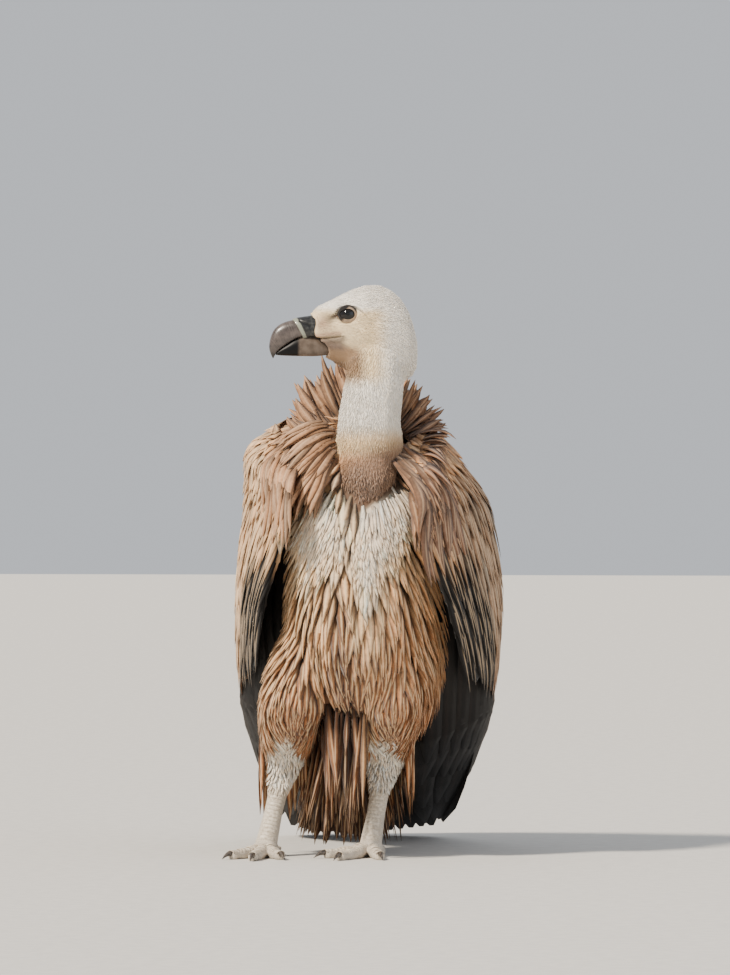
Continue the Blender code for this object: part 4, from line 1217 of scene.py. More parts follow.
def feather_finish(name, shaft, shaft_share, edge, edge_share, root_share, rough, sheen, length_mm):
    """Matt keratin: barbs slant from a shaft of another tone, the root is darker than the tip."""
    made, tree = new_finish(name)
    spot = add(tree, "TexCoord", out="Object")
    plain = add(tree, "Attribute", attribute_name="plumage")
    sideways = mapped(tree, "vane")
    lengthways = sideways.node.outputs[1]
    centred = add(tree, "Math", {0: sideways, 1: 0.5}, operation="SUBTRACT")
    off_shaft = add(tree, "Math", {0: centred}, operation="ABSOLUTE")
    slant = add(tree, "Math", {0: off_shaft, 1: BARB_SLANT, 2: lengthways}, operation="MULTIPLY_ADD")
    barb_phase = add(tree, "Math", {0: slant, 1: length_mm / BARB_GAP * 2 * math.pi}, operation="MULTIPLY")
    barbs = add(tree, "Math", {0: barb_phase}, operation="SINE")
    cloud = add(tree, "TexNoise", {"Vector": spot, "Scale": 260.0, "Detail": 4.0})
    cloud_tone = add(tree, "MapRange", {0: cloud, 1: 0.3, 2: 0.7, 3: 0.82, 4: 1.12}, **SOFTLY)
    barb_tone = add(tree, "MapRange", {0: barbs, 1: -1.0, 3: 0.9, 4: 1.05}, **SOFTLY)
    tone = add(tree, "Math", {0: cloud_tone, 1: barb_tone}, operation="MULTIPLY")
    # pale feathers have paler roots and no dark edge
    paleness = add(tree, "SeparateColor", {0: plain}, out="Blue")
    root_low = add(tree, "MapRange", {0: paleness, 1: 0.35, 2: 0.75, 3: 1.0 - root_share, 4: 0.86},
                   **SOFTLY)
    past_root = add(tree, "MapRange", {0: lengthways, 1: 0.15, 2: 0.62}, **SOFTLY)
    root_tone = add(tree, "Mix", {0: past_root, 2: root_low, 3: 1.0}, data_type="FLOAT")
    tone = add(tree, "Math", {0: tone, 1: root_tone}, operation="MULTIPLY")
    colour = darkened(tree, plain, tone)
    edge_top = add(tree, "MapRange", {0: paleness, 1: 0.35, 2: 0.75, 3: edge_share, 4: edge_share * 0.12},
                   **SOFTLY)
    near_edge = add(tree, "MapRange", {0: off_shaft, 1: 0.2, 2: 0.47}, **SOFTLY)
    at_edge = add(tree, "Math", {0: near_edge, 1: edge_top}, operation="MULTIPLY")
    edge_colour = add(tree, "Mix", {0: 1.0, 6: colour, 7: edge}, **TIMES)
    colour = add(tree, "Mix", {0: at_edge, 6: colour, 7: edge_colour}, **OVER)
    near_shaft = add(tree, "MapRange", {0: off_shaft, 1: 0.15, 2: 0.03, 4: shaft_share}, **SOFTLY)
    grown = add(tree, "MapRange", {0: lengthways, 1: 0.2, 2: 0.55}, **SOFTLY)
    on_shaft = add(tree, "Math", {0: near_shaft, 1: grown}, operation="MULTIPLY")
    colour = add(tree, "Mix", {0: on_shaft, 6: colour, 7: shaft}, **OVER)
    ridge = add(tree, "MapRange", {0: off_shaft, 1: 0.05, 2: 0.0, 4: 1.6}, **SOFTLY)
    relief = add(tree, "Math", {0: barbs, 1: ridge}, operation="ADD")
    raised = add(tree, "Bump", {"Height": relief, "Strength": 0.3, "Distance": 0.00025})
    surfaced(tree, {"Base Color": colour, "Normal": raised, "Roughness": rough, "Sheen Weight": sheen,
                    "Sheen Roughness": 0.4, "Specular IOR Level": 0.22, "IOR": 1.54})
    return made


# flight feathers: near black keratin with a faint cold shine and a dark glossy shaft
flight_finish = feather_finish("flight_feather_keratin", linear("211A16"), 0.6, np.array((1.7, 1.6, 1.5)),
                               0.5, 0.1, 0.62, 0.0, 220.0)
STATIONS = 9
steps = np.linspace(0, 1, STATIONS)


def tail_line(across, first, last, rise):
    """Stations of a tail feather: across the fan, between two shares of its length, raised a little."""
    reach = first + (last - first) * steps
    half = 0.036 + 0.042 * reach       # half the fan's width
    run = reach * TAIL_LENGTH
    y = 0.196 + run * math.cos(TAIL_SLOPE)
    z = 0.1765 - run * math.sin(TAIL_SLOPE) - 0.01 * across * across * (1 - reach)
    x = half * across + BODY_MIDDLE - TRAIL * np.maximum(0.0, y - 0.04)
    line = np.stack([x, y, z], axis=1) + ground_at
    up = np.array((0.0, math.sin(TAIL_SLOPE), math.cos(TAIL_SLOPE)))
    line = line + up * (rise - 0.0045)
    line[:, 2] = np.maximum(line[:, 2], 0.0045)
    return line, np.repeat(up[None, :], STATIONS, axis=0)


TAIL_VANE = 0.0165       # half the width of a tail feather
lines, ups = [], []
for i in range(TAIL_FEATHERS):
    across = 1.22 * (2 * (i + 0.5) / TAIL_FEATHERS - 1)
    worn = (1.0 - 0.05 * across * across) * rng.uniform(0.97, 1.0)
    line, up = tail_line(across, 0.02, worn, 0.0032 * (1 - abs(across)))
    lines.append(line)
    ups.append(up)
vanes("tail_feathers", np.array(lines), np.array(ups), np.full(TAIL_FEATHERS, TAIL_VANE), blade(steps),
      toned(alike(BLACK, TAIL_FEATHERS)), flight_finish, ["tail"], QUILL_THICK, 0.05)


# ---- flight feathers of the folded wings ----
# Primaries and secondaries, stiff black blades rooted in the hand and forearm. Folded, they lie in
# shingled rows down the bird's side, the secondaries over the primaries, tips by the tail.
FORE = ((0.056, -0.088, 0.468), (0.081, -0.122, 0.425), (0.088, -0.128, 0.36), (0.11, -0.1, 0.285),
        (0.12, -0.03, 0.208), (0.117, 0.075, 0.133), (0.108, 0.2, 0.07), (0.092, 0.37, 0.013))
SIDE = ((0.086, -0.025, 0.496), (0.124, -0.015, 0.463), (0.145, 0.006, 0.395), (0.1555, 0.045, 0.305),
        (0.1535, 0.095, 0.228), (0.144, 0.16, 0.157), (0.128, 0.25, 0.09), (0.101, 0.385, 0.021))
REAR = ((0.02, 0.03, 0.508), (0.012, 0.092, 0.486), (0.01, 0.15, 0.432), (0.01, 0.205, 0.366),
        (0.011, 0.262, 0.29), (0.016, 0.315, 0.21), (0.032, 0.362, 0.125), (0.074, 0.412, 0.03))
TUCK = ((0.056, -0.07, 0.448), (0.086, -0.085, 0.405), (0.095, -0.075, 0.345), (0.1, -0.03, 0.268),
        (0.093, 0.04, 0.19), (0.084, 0.12, 0.12), (0.076, 0.225, 0.062), (0.078, 0.37, 0.013))
COVERT_END = 0.74        # share of the wing's length that the coverts reach
WING_BEND = 0.42         # share of the way across where the wing turns from front to side
WING_LENGTH = 0.7       # metres from shoulder to tip along the folded wing
# number of feathers, their roots and tips along the wing, half width, and how deep the row lies
FLIGHT_ROWS = ((9, 0.52, 0.995, 0.0135, 0.0062), (10, 0.45, 0.93, 0.014, 0.004),
               (17, 0.24, 0.865, 0.015, 0.0022), (15, 0.22, 0.8, 0.0145, 0.0008))


def leaned(places_in_body):
    """Carries places from the upright body to the leaning bird as it stands."""
    x, y, z = np.moveaxis(places_in_body, -1, 0)
    c, s = math.cos(BODY_LEAN), math.sin(BODY_LEAN)
    sway = -0.02 * fade(0.4, 0.48, z)
    trail = -TRAIL * np.maximum(0.0, y - 0.04)
    return np.stack([x * c + z * s + BODY_MIDDLE + sway + trail, y, z * c - x * s], axis=-1) + ground_at


def bowed(start, middle, end, t):
    """A bow from start to end that leans towards its middle."""
    return start * (1 - t) ** 2 + middle * 2 * t * (1 - t) + end * t * t


def wing_place(side, along, across, front):
    """Places on the folded wing's outer face: along from shoulder to tip, across from front to back."""
    at = along * (len(FORE) - 1)
    fore, outer, rear = (along_curve(line, at) for line in (front, SIDE, REAR))
    t = (across / WING_BEND)[..., None].clip(None, 1.0)
    near = bowed(fore, fore * 0.25 + outer * 0.75 + np.array((0.006, -0.012, 0.0)), outer, t)
    t = ((across - WING_BEND) / (1 - WING_BEND))[..., None].clip(0.0, None)
    bulge = np.array((0.03, 0.026, 0.012)) * np.minimum(1.0, 1.6 * (1 - along))[..., None]
    far = bowed(outer, outer * 0.55 + rear * 0.45 + bulge, rear, t)
    found = np.where((across < WING_BEND)[..., None], near, far)
    found[..., 0] *= side
    return leaned(found)


def wing_lines(side, along_first, along_last, across_first, across_last, height, front):
    """Centre lines on a wing, one row per feather; height is an array of offsets by station."""
    along = along_first[:, None] + (along_last - along_first)[:, None] * steps
    across = across_first[:, None] + (across_last - across_first)[:, None] * steps
    e = 0.004      # half the span over which the wing's slope is felt
    down_it = wing_place(side, along + e, across, front) - wing_place(side, along - e, across, front)
    over_it = wing_place(side, along, across + e, front) - wing_place(side, along, across - e, front)
    out = unit(np.cross(down_it, over_it)) * side
    sunk = height(along, across) if callable(height) else height
    return wing_place(side, along, across, front) + out * sunk[..., None], out


def rolled(lines, ups, angle):
    """Turns the feathers' faces about their own length, so that each lies like a shingle."""
    along = unit(np.gradient(lines, axis=1))
    across = np.cross(along, ups)
    return unit(ups * math.cos(angle) + across * math.sin(angle))


for word in sides:
    side = side_of[word]
    rows = []
    for number, root, end, width, deep in FLIGHT_ROWS:
        share = -0.07 + 1.07 * (np.arange(number) + 0.5) / number
        tips = end - 0.045 * (1 - share) ** 2 * (root < 0.4) + rng.uniform(-0.012, 0.006, number)

        def under_coverts(along, across):
            return -0.0125 * np.clip((COVERT_END - 0.06 - along) / 0.1, 0, 1) - deep + 0.0012 * across

        lines, ups = wing_lines(side, np.full(number, root), np.minimum(tips, 1.0), share, share,
                                under_coverts, TUCK)
        lines[..., 2] = np.maximum(lines[..., 2], 0.006)
        widths = width * rng.uniform(0.92, 1.08, number)
        # the outermost rows are painted greyer from the middle of the wing back, a painted sheen of the
        # sky's light on their outer vanes
        sky_sheen = fade(0.3, 0.5, share) * (0.75 if root < 0.4 else 0.2)
        marks = toned(blend(alike(BLACK, number), GREY_BLACK, sky_sheen), 0.2)
        rows.append((lines, rolled(lines, ups, 0.13 * side), widths, marks))
    lines, ups, widths, marks = (np.concatenate(a) for a in zip(*rows))
    vanes("flight_feathers_" + word, lines, ups, widths, blade(steps), marks, flight_finish,
          ["wing_flight_" + word], QUILL_THICK, 0.07)


# ---- wing coverts ----
# Soft tan lances in many rows from the shoulder down, each row over the roots of the row below. The
# lowest, longest row hangs free over the black flight feathers.
covert_finish = feather_finish("tan_covert_feather", linear("E6C7A0"), 0.45, np.array((0.62, 0.55, 0.5)),
                               0.7, 0.55, 0.78, 0.12, 75.0)
COVERT_ROWS, COVERTS_ACROSS = 19, 30
for word in sides:
    side = side_of[word]
    rows = []
    for row in range(COVERT_ROWS):
        down = 1 - row / (COVERT_ROWS - 1)          # 1 for the lowest row
        number = COVERTS_ACROSS + (row % 2)
        share = np.arange(number) + 0.5 * (row % 2) + rng.uniform(-0.25, 0.25, number) + 0.4
        share = np.clip(share / (number + 0.4), 0.002, 0.99)
        lowest = COVERT_END - 0.16 * (1 - share) ** 1.5
        tips = 0.055 + (lowest - 0.055) * down ** 0.9 + rng.uniform(-0.028, 0.016, number)
        length = (0.052 + 0.066 * down) * rng.uniform(0.8, 1.15, number) / WING_LENGTH
        roots = np.maximum(tips - length, -0.004)
        drift = rng.normal(0.0, 0.012, number)
        layer = rng.uniform(-0.0006, 0.0006, number) * (0.6 + down)
        lying = -0.0042 * (1 - steps) ** 1.5 + 0.001      # the root is sunk, the tip lies clear
        lying = lying + layer[:, None] + 0.0008 * steps ** 3
        lines, ups = wing_lines(side, roots, tips, share, np.clip(share + drift, 0.0, 0.995), lying, FORE)
        ups = rolled(lines, ups, float(rng.normal(0.0, 0.05)))
        widths = (0.0062 + 0.0022 * down) * rng.uniform(0.8, 1.2, number)
        behind = fade(0.45, 0.75, share) * (0.35 + 0.4 * down)
        marks = toned(blend(marking(lines[:, 3]), WING_GREY * 0.7, behind), 0.2)
        # near the wing's front edge the long lower coverts are painted black: partly the dark plumage
        # there, partly painted shade in the gap between wing and body
        black_from = 0.35 + 0.36 * fade(0.12, 0.42, share)
        marks = blend(marks, BLACK * 1.2, fade(-0.02, 0.03, tips - 0.03 - black_from))
        rows.append((lines, ups, widths, marks))
    lines, ups, widths, marks = (np.concatenate(a) for a in zip(*rows))
    vanes("wing_covert_feathers_" + word, lines, ups, widths, lance(steps), marks, covert_finish)


# ---- breast, belly, back, trousers and vent ----
# Lance-shaped contour feathers, tan with a pale shaft and dark between them. They spring from the
# hide under the coat and follow the body down, each over the next one's root.
body_finish = feather_finish("tan_contour_feather", linear("F0D3A8"), 0.62, np.array((0.5, 0.42, 0.36)),
                             0.8, 0.62, 0.8, 0.15, 65.0)
coat_quads = np.array(coat_faces)
quad_corners = coat_corners[coat_quads]
quad_middles = quad_corners.mean(axis=1)
quad_cross = np.cross(quad_corners[:, 2] - quad_corners[:, 0], quad_corners[:, 3] - quad_corners[:, 1])
quad_areas = np.linalg.norm(quad_cross, axis=1) / 2
quad_normals = unit(quad_cross)
quad_kinds = kind_names[coat_quads[:, 0]]
open_sky = np.zeros(len(coat_quads), bool)
for i, (middle, normal) in enumerate(zip(quad_middles, quad_normals)):
    # places with another part of the bird close over them are hidden, and bear no coat
    open_sky[i] = coat_tree.ray_cast(Vector(middle + normal * 0.004), Vector(normal), 0.04)[0] is None


def scattered(wanted, spacing, seed):
    """Places on the chosen faces of the coat's surface, no two nearer than the spacing."""
    dice = np.random.default_rng(seed)
    chosen = np.flatnonzero(wanted)
    share = quad_areas[chosen] / quad_areas[chosen].sum()
    count = int(quad_areas[chosen].sum() / spacing ** 2 * 5)
    picks = chosen[dice.choice(len(chosen), count, p=share)]
    u, v = dice.random((2, count, 1))
    a, b, c, d = (quad_corners[picks, i] for i in range(4))
    spots = (a * (1 - u) + b * u) * (1 - v) + (d * (1 - u) + c * u) * v
    cells = {}
    kept = []
    for i, cell in enumerate(np.floor(spots / spacing).astype(int).tolist()):
        nearby = (tuple(c + off for c, off in zip(cell, offs)) for offs in product((-1, 0, 1), repeat=3))
        gaps = (spots[other] - spots[i] for key in nearby for other in cells.get(key, ()))
        if not any(x * x + y * y + z * z < spacing * spacing for x, y, z in gaps):
            cells.setdefault(tuple(cell), []).append(i)
            kept.append(i)
    return spots[kept], quad_normals[picks[kept]]


def trails(roots, headings, lengths, stations, cling=0.8):
    """Centre lines that run over the coat's surface from their roots, with the surface's own up."""
    count = len(roots)
    lines = np.zeros((count, stations, 3))
    ups = np.zeros((count, stations, 3))
    for i in range(count):
        at, way = Vector(roots[i]), Vector(headings[i])
        step = lengths[i] / (stations - 1)
        for k in range(stations):
            found, normal = coat_tree.find_nearest(at)[:2]
            here = found.lerp(at, 1 - cling) if (at - found).dot(normal) > 0 else found
            lines[i, k] = here
            ups[i, k] = normal
            way = (way - normal * way.dot(normal)).normalized()
            at = here + way * step
    for turn in range(2):
        ups[:, 1:-1] = (ups[:, :-2] + ups[:, 1:-1] + ups[:, 2:]) / 3
        lines[:, 1:-1] = (lines[:, :-2] + 2 * lines[:, 1:-1] + lines[:, 2:]) / 4
    return lines, unit(ups)


def headed(ways, normals, wobble, seed):
    """Lays the ways on the surface and turns each a little at random."""
    dice = np.random.default_rng(seed)
    flat = unit(ways - normals * (ways * normals).sum(axis=1, keepdims=True))
    turn = dice.normal(0.0, wobble, (len(flat), 1))
    return flat * np.cos(turn) + np.cross(normals, flat) * np.sin(turn)


SMALL_STATIONS = 7
small_steps = np.linspace(0, 1, SMALL_STATIONS)
SMALL_LANCE = lance(small_steps, 0.5, 1.5)


def coat_of(name, wanted, spacing, seed, way, length, width, depth, lift, finish,
            tones=0.2, wobble=0.09, keep=None):
    """A piece of coat scattered on the chosen faces; length, width and lift may go by place."""
    roots, normals = scattered(wanted, spacing, seed)
    if keep is not None:
        chosen = keep(marking(roots))
        roots, normals = roots[chosen], normals[chosen]
    own = roots - ground_at
    count = len(roots)
    lengths, widths, lifts = (measure(own) if callable(measure) else np.full(count, measure)
                              for measure in (length, width, lift))
    headings = headed(way(own, normals), normals, wobble, seed + 1)
    dice = np.random.default_rng(seed + 2)
    lengths = lengths * dice.uniform(0.82, 1.15, count)
    widths = widths * dice.uniform(0.82, 1.15, count)
    lines, ups = trails(roots, headings, lengths, SMALL_STATIONS)
    layer = dice.uniform(-0.0006, 0.0006, count)
    rise = -depth * (1 - small_steps) ** 1.5 + lifts[:, None] * small_steps ** 1.5
    lines = lines + ups * (rise + layer[:, None])[..., None]
    lines[..., 2] = np.maximum(lines[..., 2], 0.004)
    marks = toned(marking(lines[:, SMALL_STATIONS // 2]), tones)
    vanes(name, lines, ups, widths, SMALL_LANCE, marks, finish, droop=0.26, points=4)


def down_front(own, normals):
    """Breast and belly feathers run down, and lean in towards the belly's groove."""
    inward = -(own[:, 0] - 0.05) * 1.6 * fade(0.36, 0.22, own[:, 2])
    outward = (own[:, 0] - 0.05) * 1.2 * fade(0.3, 0.4, own[:, 2])
    return np.stack([inward + outward, np.full(len(own), 0.25), np.full(len(own), -1.0)], axis=1)


def straight(way):
    """Feathers that all run one way."""
    return lambda own, normals: np.tile(way, (len(own), 1))


down_back, down_leg = straight((0.0, 0.62, -0.8)), straight((0.0, 0.2, -1.0))


def over_shoulder(own, normals):
    """Down the breast where the shoulder faces forward, down the back elsewhere."""
    return np.where(normals[:, 1:2] < -0.15, down_front(own, normals), down_back(own, normals))


def outside(own):
    """1 on the flanks, where the breast's feathers stand fuller, 0 along the belly's middle."""
    off = own[:, 0] - body_middle(own[:, 2])
    fuller = 1.0 - 0.45 * (off < 0)
    return fuller * fade(0.04, 0.075, np.abs(off)) * fade(0.12, 0.2, own[:, 2])


def by_height(base, gain, low, high):
    """A measure that goes from base to base and gain as the height goes from low to high."""
    return lambda own: base + gain * fade(low, high, own[:, 2])


is_trunk = quad_kinds == "trunk"
own_middles = quad_middles - ground_at
front_faces = is_trunk & (own_middles[:, 1] < 0.045) & (open_sky | (own_middles[:, 2] < 0.425))
back_faces = open_sky & is_trunk & (own_middles[:, 1] >= 0.035)
beside_neck = (own_middles[:, 2] > 0.425) & (own_middles[:, 0] < 0.03)
longer_below, shorter_above = by_height(0.05, 0.028, 0.4, 0.27), by_height(0.0, 0.02, 0.42, 0.46)
coat_of("breast_feathers", front_faces & ~beside_neck, 0.0078, 11, down_front,
        lambda own: longer_below(own) - shorter_above(own),
        by_height(0.005, 0.0016, 0.42, 0.3), 0.009, lambda own: 0.002 + 0.0085 * outside(own),
        body_finish, tones=0.24)
on_bib = front_faces & (own_middles[:, 2] > 0.33) & (own_middles[:, 1] < -0.02)
coat_of("breast_down", on_bib, 0.0031, 12, down_front, 0.03, 0.003, 0.003, 0.0019,
        body_finish, tones=0.04, keep=lambda marks: marks[:, 2] > 0.5)
coat_of("boot_down", quad_kinds == "thigh", 0.003, 33, down_leg, 0.0095, 0.0017, 0.0032, 0.0009,
        body_finish, tones=0.05, wobble=0.2, keep=lambda marks: marks[:, 2] > 0.42)
coat_of("back_feathers", back_faces, 0.0095, 21, down_back, 0.058, 0.0078, 0.0085, 0.0016,
        covert_finish)
coat_of("shoulder_feathers", open_sky & (quad_kinds == "wing_shoulder"), 0.008, 25, over_shoulder,
        0.04, 0.0066, 0.0048, 0.0014, covert_finish)
inner_wing = np.isin(quad_kinds, ("wing_shoulder", "wing_coverts")) & (own_middles[:, 1] < 0.02)
inner_wing &= (quad_normals[:, 0] * np.sign(own_middles[:, 0] - 0.05) < 0.25) & (own_middles[:, 2] > 0.4)
coat_of("wing_lining_feathers", inner_wing, 0.0085, 27, down_front, 0.046, 0.0062, 0.0045, 0.0016,
        body_finish)
coat_of("trouser_feathers", open_sky & (quad_kinds == "thigh"), 0.0058, 31, down_leg,
        by_height(0.02, 0.034, 0.12, 0.17), by_height(0.0028, 0.0026, 0.11, 0.17), 0.0045,
        by_height(0.0014, 0.003, 0.12, 0.17), body_finish,
        keep=lambda marks: marks[:, 2] < 0.42)

# three rows of coverts over the roots of the tail
TAIL_COVERTS = ((0.4, 0.0062, 12), (0.27, 0.009, 11), (0.15, 0.0115, 10))    # reach, rise, number
for row, (last, rise, number) in enumerate(TAIL_COVERTS):
    laid = [tail_line(1.15 * (2 * (i + 0.5) / number - 1), -0.16, last * rng.uniform(0.88, 1.05), rise)
            for i in range(number)]
    lines, ups = (np.array(a) for a in zip(*laid))
    marks = toned(alike(BACK_BROWN * 0.55, number), 0.2)
    vanes("tail_coverts_%d" % (row + 1), lines, ups, rng.uniform(0.0115, 0.0145, number),
          lance(steps, 0.55, 2.2), marks, covert_finish, droop=0.12)

# under the tail's root and the belly long lances hang straight, the lowest almost to the floor
hanging = (quad_kinds == "vent") & (own_middles[:, 2] > 0.042)
hanging |= is_trunk & (own_middles[:, 2] < 0.175) & (np.abs(own_middles[:, 0] - 0.046) < 0.042) & (
    own_middles[:, 1] < 0.1)
vent_roots, vent_normals = scattered(hanging, 0.0062, 41)
dice = np.random.default_rng(42)
number = len(vent_roots)
reach = dice.uniform(0.045, 0.112, number)
vent_lengths = np.maximum(np.minimum(reach, vent_roots[:, 2] - dice.uniform(0.01, 0.06, number)), 0.024)
fall = vent_normals * np.array((0.16, 0.16, 0.0)) + np.array((0.0, 0.1, -1.0))
fall = unit(fall + dice.normal(0, 0.06, (number, 3)))
lines = vent_roots[:, None] + fall[:, None] * (small_steps[None, :, None] * vent_lengths[:, None, None])
lines = lines - vent_normals[:, None] * (0.006 * (1 - small_steps) ** 1.5 - 0.002)[None, :, None]
ups = np.repeat(unit(vent_normals * np.array((1.0, 1.0, 0.2)))[:, None], SMALL_STATIONS, axis=1)
lines[..., 2] = np.maximum(lines[..., 2], 0.01)
# painted shade: the lower a lance hangs between the legs, the darker it is painted
shade_toward_floor = (0.36 + 0.4 * fade(0.05, 0.15, lines[:, 4, 2]))[:, None]
vanes("vent_feathers", lines, ups, dice.uniform(0.0034, 0.0056, number), SMALL_LANCE,
      toned(np.minimum(marking(lines[:, 2]), TAN) * shade_toward_floor, 0.28), covert_finish,
      droop=0.26, points=4)

# long lances that hang outside and behind each leg, from the trousers' edge towards the floor
HANGING_LANCES = 46      # on each leg
roots, ways, lengths, outs = [], [], [], []
dice = np.random.default_rng(35)
for word, leg in LEGS.items():
    hock = np.array(leg["hock"]) + ground_at
    for i in range(HANGING_LANCES):
        turn = math.radians(dice.uniform(-38, 150))      # from in front, round the outer side, to behind
        out = np.array((side_of[word] * math.cos(turn), math.sin(turn), 0.0))
        height = dice.uniform(0.012, 0.06)
        roots.append(hock + out * dice.uniform(0.024, 0.033) + np.array((0, 0, height)))
        ways.append(out * 0.1 + np.array((0, 0.1, -1.0)))
        lengths.append(dice.uniform(0.07, 0.105) * (1.0 if turn > 0.2 else 0.7))
        outs.append((roots[-1] - hock) * np.array((1, 1, 0)))
travel = small_steps[None, :, None] * np.array(lengths)[:, None, None]
lines = np.array(roots)[:, None] + unit(np.array(ways))[:, None] * travel
lines[..., 2] = np.maximum(lines[..., 2], 0.012)
ups = np.repeat(unit(np.array(outs))[:, None], SMALL_STATIONS, axis=1)
lines = lines - ups * (0.006 * (small_steps ** 2))[None, :, None]
marks = toned(alike(RUFOUS * 0.65 + TAN * 0.35, len(lines)), 0.25)
vanes("trouser_lances", lines, ups, 0.0054 * dice.uniform(0.8, 1.2, len(lines)), SMALL_LANCE, marks,
      body_finish, droop=0.26, points=4)


# ---- ruff ----
# A loose collar of long brown lances, rooted round the base of the neck and standing out over the
# shoulders, open in front. The outer lances are longest, and lie over shorter ones.
ruff_finish = feather_finish("brown_ruff_feather", linear("DDBB98"), 0.4, np.array((0.6, 0.52, 0.47)),
                             0.75, 0.5, 0.8, 0.15, 85.0)
RUFF_ROOTS = ((-0.036, -0.103, 0.415), (-0.05, -0.078, 0.445), (-0.047, -0.04, 0.478),
              (-0.026, -0.008, 0.498), (0.0, 0.002, 0.503), (0.026, -0.008, 0.498),
              (0.047, -0.04, 0.478), (0.05, -0.078, 0.445), (0.036, -0.103, 0.415))
RUFF_MIDS = ((-0.058, -0.128, 0.4), (-0.078, -0.098, 0.448), (-0.07, -0.03, 0.498),
             (-0.042, 0.016, 0.534), (0.0, 0.03, 0.54), (0.05, 0.016, 0.524),
             (0.08, -0.03, 0.49), (0.08, -0.098, 0.445), (0.058, -0.128, 0.4))
RUFF_TIPS = ((-0.078, -0.146, 0.362), (-0.098, -0.118, 0.42), (-0.084, -0.02, 0.521),
             (-0.052, 0.028, 0.574), (0.008, 0.044, 0.574), (0.068, 0.028, 0.553),
             (0.106, -0.02, 0.5), (0.102, -0.118, 0.412), (0.078, -0.146, 0.362))
RUFF_SHIFTS = (0.024, 0.014, 0.008)      # the collar sits this far to the bird's left
RUFF_VANE = 0.0054       # half the width of a lance


def ruff_place(around, reach):
    """Places on the collar: around from the bird's right to its left, reach from root 0 to tip 2."""
    at = np.clip(around, 0, 1) * (len(RUFF_ROOTS) - 1)
    lines_at = [along_curve(line, at) for line in (RUFF_ROOTS, RUFF_MIDS, RUFF_TIPS)]
    for line, shift in zip(lines_at, RUFF_SHIFTS):
        line[..., 0] += shift
    root, mid, tip = lines_at
    t = np.clip(reach / 2, 0, None)[..., None]
    return leaned(bowed(root, mid * 2 - (root + tip) / 2, tip, t))


# number of lances, first and last reach, how deep the layer lies, and how far its tips sag
RUFF_LAYERS = ((96, 0.05, 2.0, -0.008, 0.0), (98, 0.05, 1.9, -0.004, 0.002), (94, 0.0, 1.74, 0.0, 0.004),
               (88, 0.0, 1.54, 0.004, 0.006), (80, 0.0, 1.32, 0.008, 0.006), (74, 0.0, 1.08, 0.012, 0.006),
               (66, 0.0, 0.84, 0.016, 0.006))
RUFF_START = 0.095       # how far round the collar begins, on the bird's right
rows = []
for number, first, last, deep, sag in RUFF_LAYERS:
    places = np.arange(number) + 0.5 + rng.uniform(-0.4, 0.4, number)
    around = RUFF_START + (1 - RUFF_START) * places / number
    tips = last * rng.uniform(0.78, 1.04, number)
    in_front = fade(0.24, 0.08, around) + fade(0.8, 0.98, around)
    tips = tips * (1 - 0.3 * in_front)
    reach = first + (tips[:, None] - first) * steps
    fan = around[:, None] + rng.normal(0.0, 0.016, (number, 1)) * steps
    spots = ruff_place(fan, reach)
    e = 0.01
    out = unit(np.cross(ruff_place(fan, reach + e) - spots, ruff_place(fan + e, reach) - spots))
    layer = deep * (0.3 + 0.7 * steps) + rng.uniform(-0.002, 0.002, (number, 1))
    spots = spots + out * layer[..., None]
    spots[..., 2] -= (sag + 0.034 * in_front[:, None] + rng.uniform(0.0, 0.012, (number, 1))) * steps ** 2
    spots = spots + rng.normal(0.0, 0.003, (number, 1, 3)) * (steps ** 1.5)[None, :, None]
    ups = rolled(spots, out, float(rng.normal(0, 0.15)))
    widths = RUFF_VANE * rng.uniform(0.7, 1.25, number) * (1 - 0.15 * in_front)
    rows.append((spots, ups, widths))

# on the bird's right a fan of lances spreads from the side of the neck down over the breast
FAN_LANCES, DRAPED_LANCES = 72, 84
FAN_ROOTS = ((0.024, -0.072, 0.5), (0.026, -0.086, 0.482), (0.028, -0.099, 0.462))
FAN_MIDS = ((-0.01, -0.074, 0.503), (0.0, -0.103, 0.47), (0.012, -0.118, 0.43))
FAN_TIPS = ((-0.05, -0.082, 0.478), (-0.026, -0.124, 0.432), (0.004, -0.122, 0.392))
number = FAN_LANCES
at = np.clip(2 * (np.arange(number) + rng.uniform(0, 1, number)) / number, 0, 2)
root, mid, tip = (along_curve(line, at)[:, None] + ground_at for line in (FAN_ROOTS, FAN_MIDS, FAN_TIPS))
begin, run = rng.uniform(0.0, 0.3, number), rng.uniform(0.62, 0.78, number)
t = (begin[:, None] + run[:, None] * steps)[..., None]
spots = bowed(root, mid * 2 - (root + tip) / 2, tip, t)
out = unit(spots - ground_at - np.array((0.035, -0.02, 0.43)))
spots = spots + out * rng.uniform(-0.005, 0.0015, (number, 1, 1))
rows.append((spots, rolled(spots, out, 0.1), rng.uniform(0.0052, 0.0078, number)))

# below the collar, long lances drape over each wing's front edge and close the gap to the breast
for word in sides:
    side = side_of[word]
    number = DRAPED_LANCES
    first_along = rng.uniform(-0.01, 0.19 if word == "left" else 0.15, number)
    first_across = rng.uniform(-0.045, 0.12, number)
    last_across = first_across + rng.uniform(-0.035, 0.045, number)
    length = rng.uniform(0.085, 0.125, number) / WING_LENGTH
    rise = rng.uniform(0.001, 0.006, number)[:, None] * (0.4 + 0.6 * np.sin(math.pi * steps))[None, :]
    lines, out = wing_lines(side, first_along, first_along + length, first_across, last_across,
                            rise - 0.002, FORE)
    ups = rolled(lines, out, float(rng.normal(0, 0.1)))
    rows.append((lines, ups, 0.0068 * rng.uniform(0.75, 1.2, number)))
lines, ups, widths = (np.concatenate(a) for a in zip(*rows))
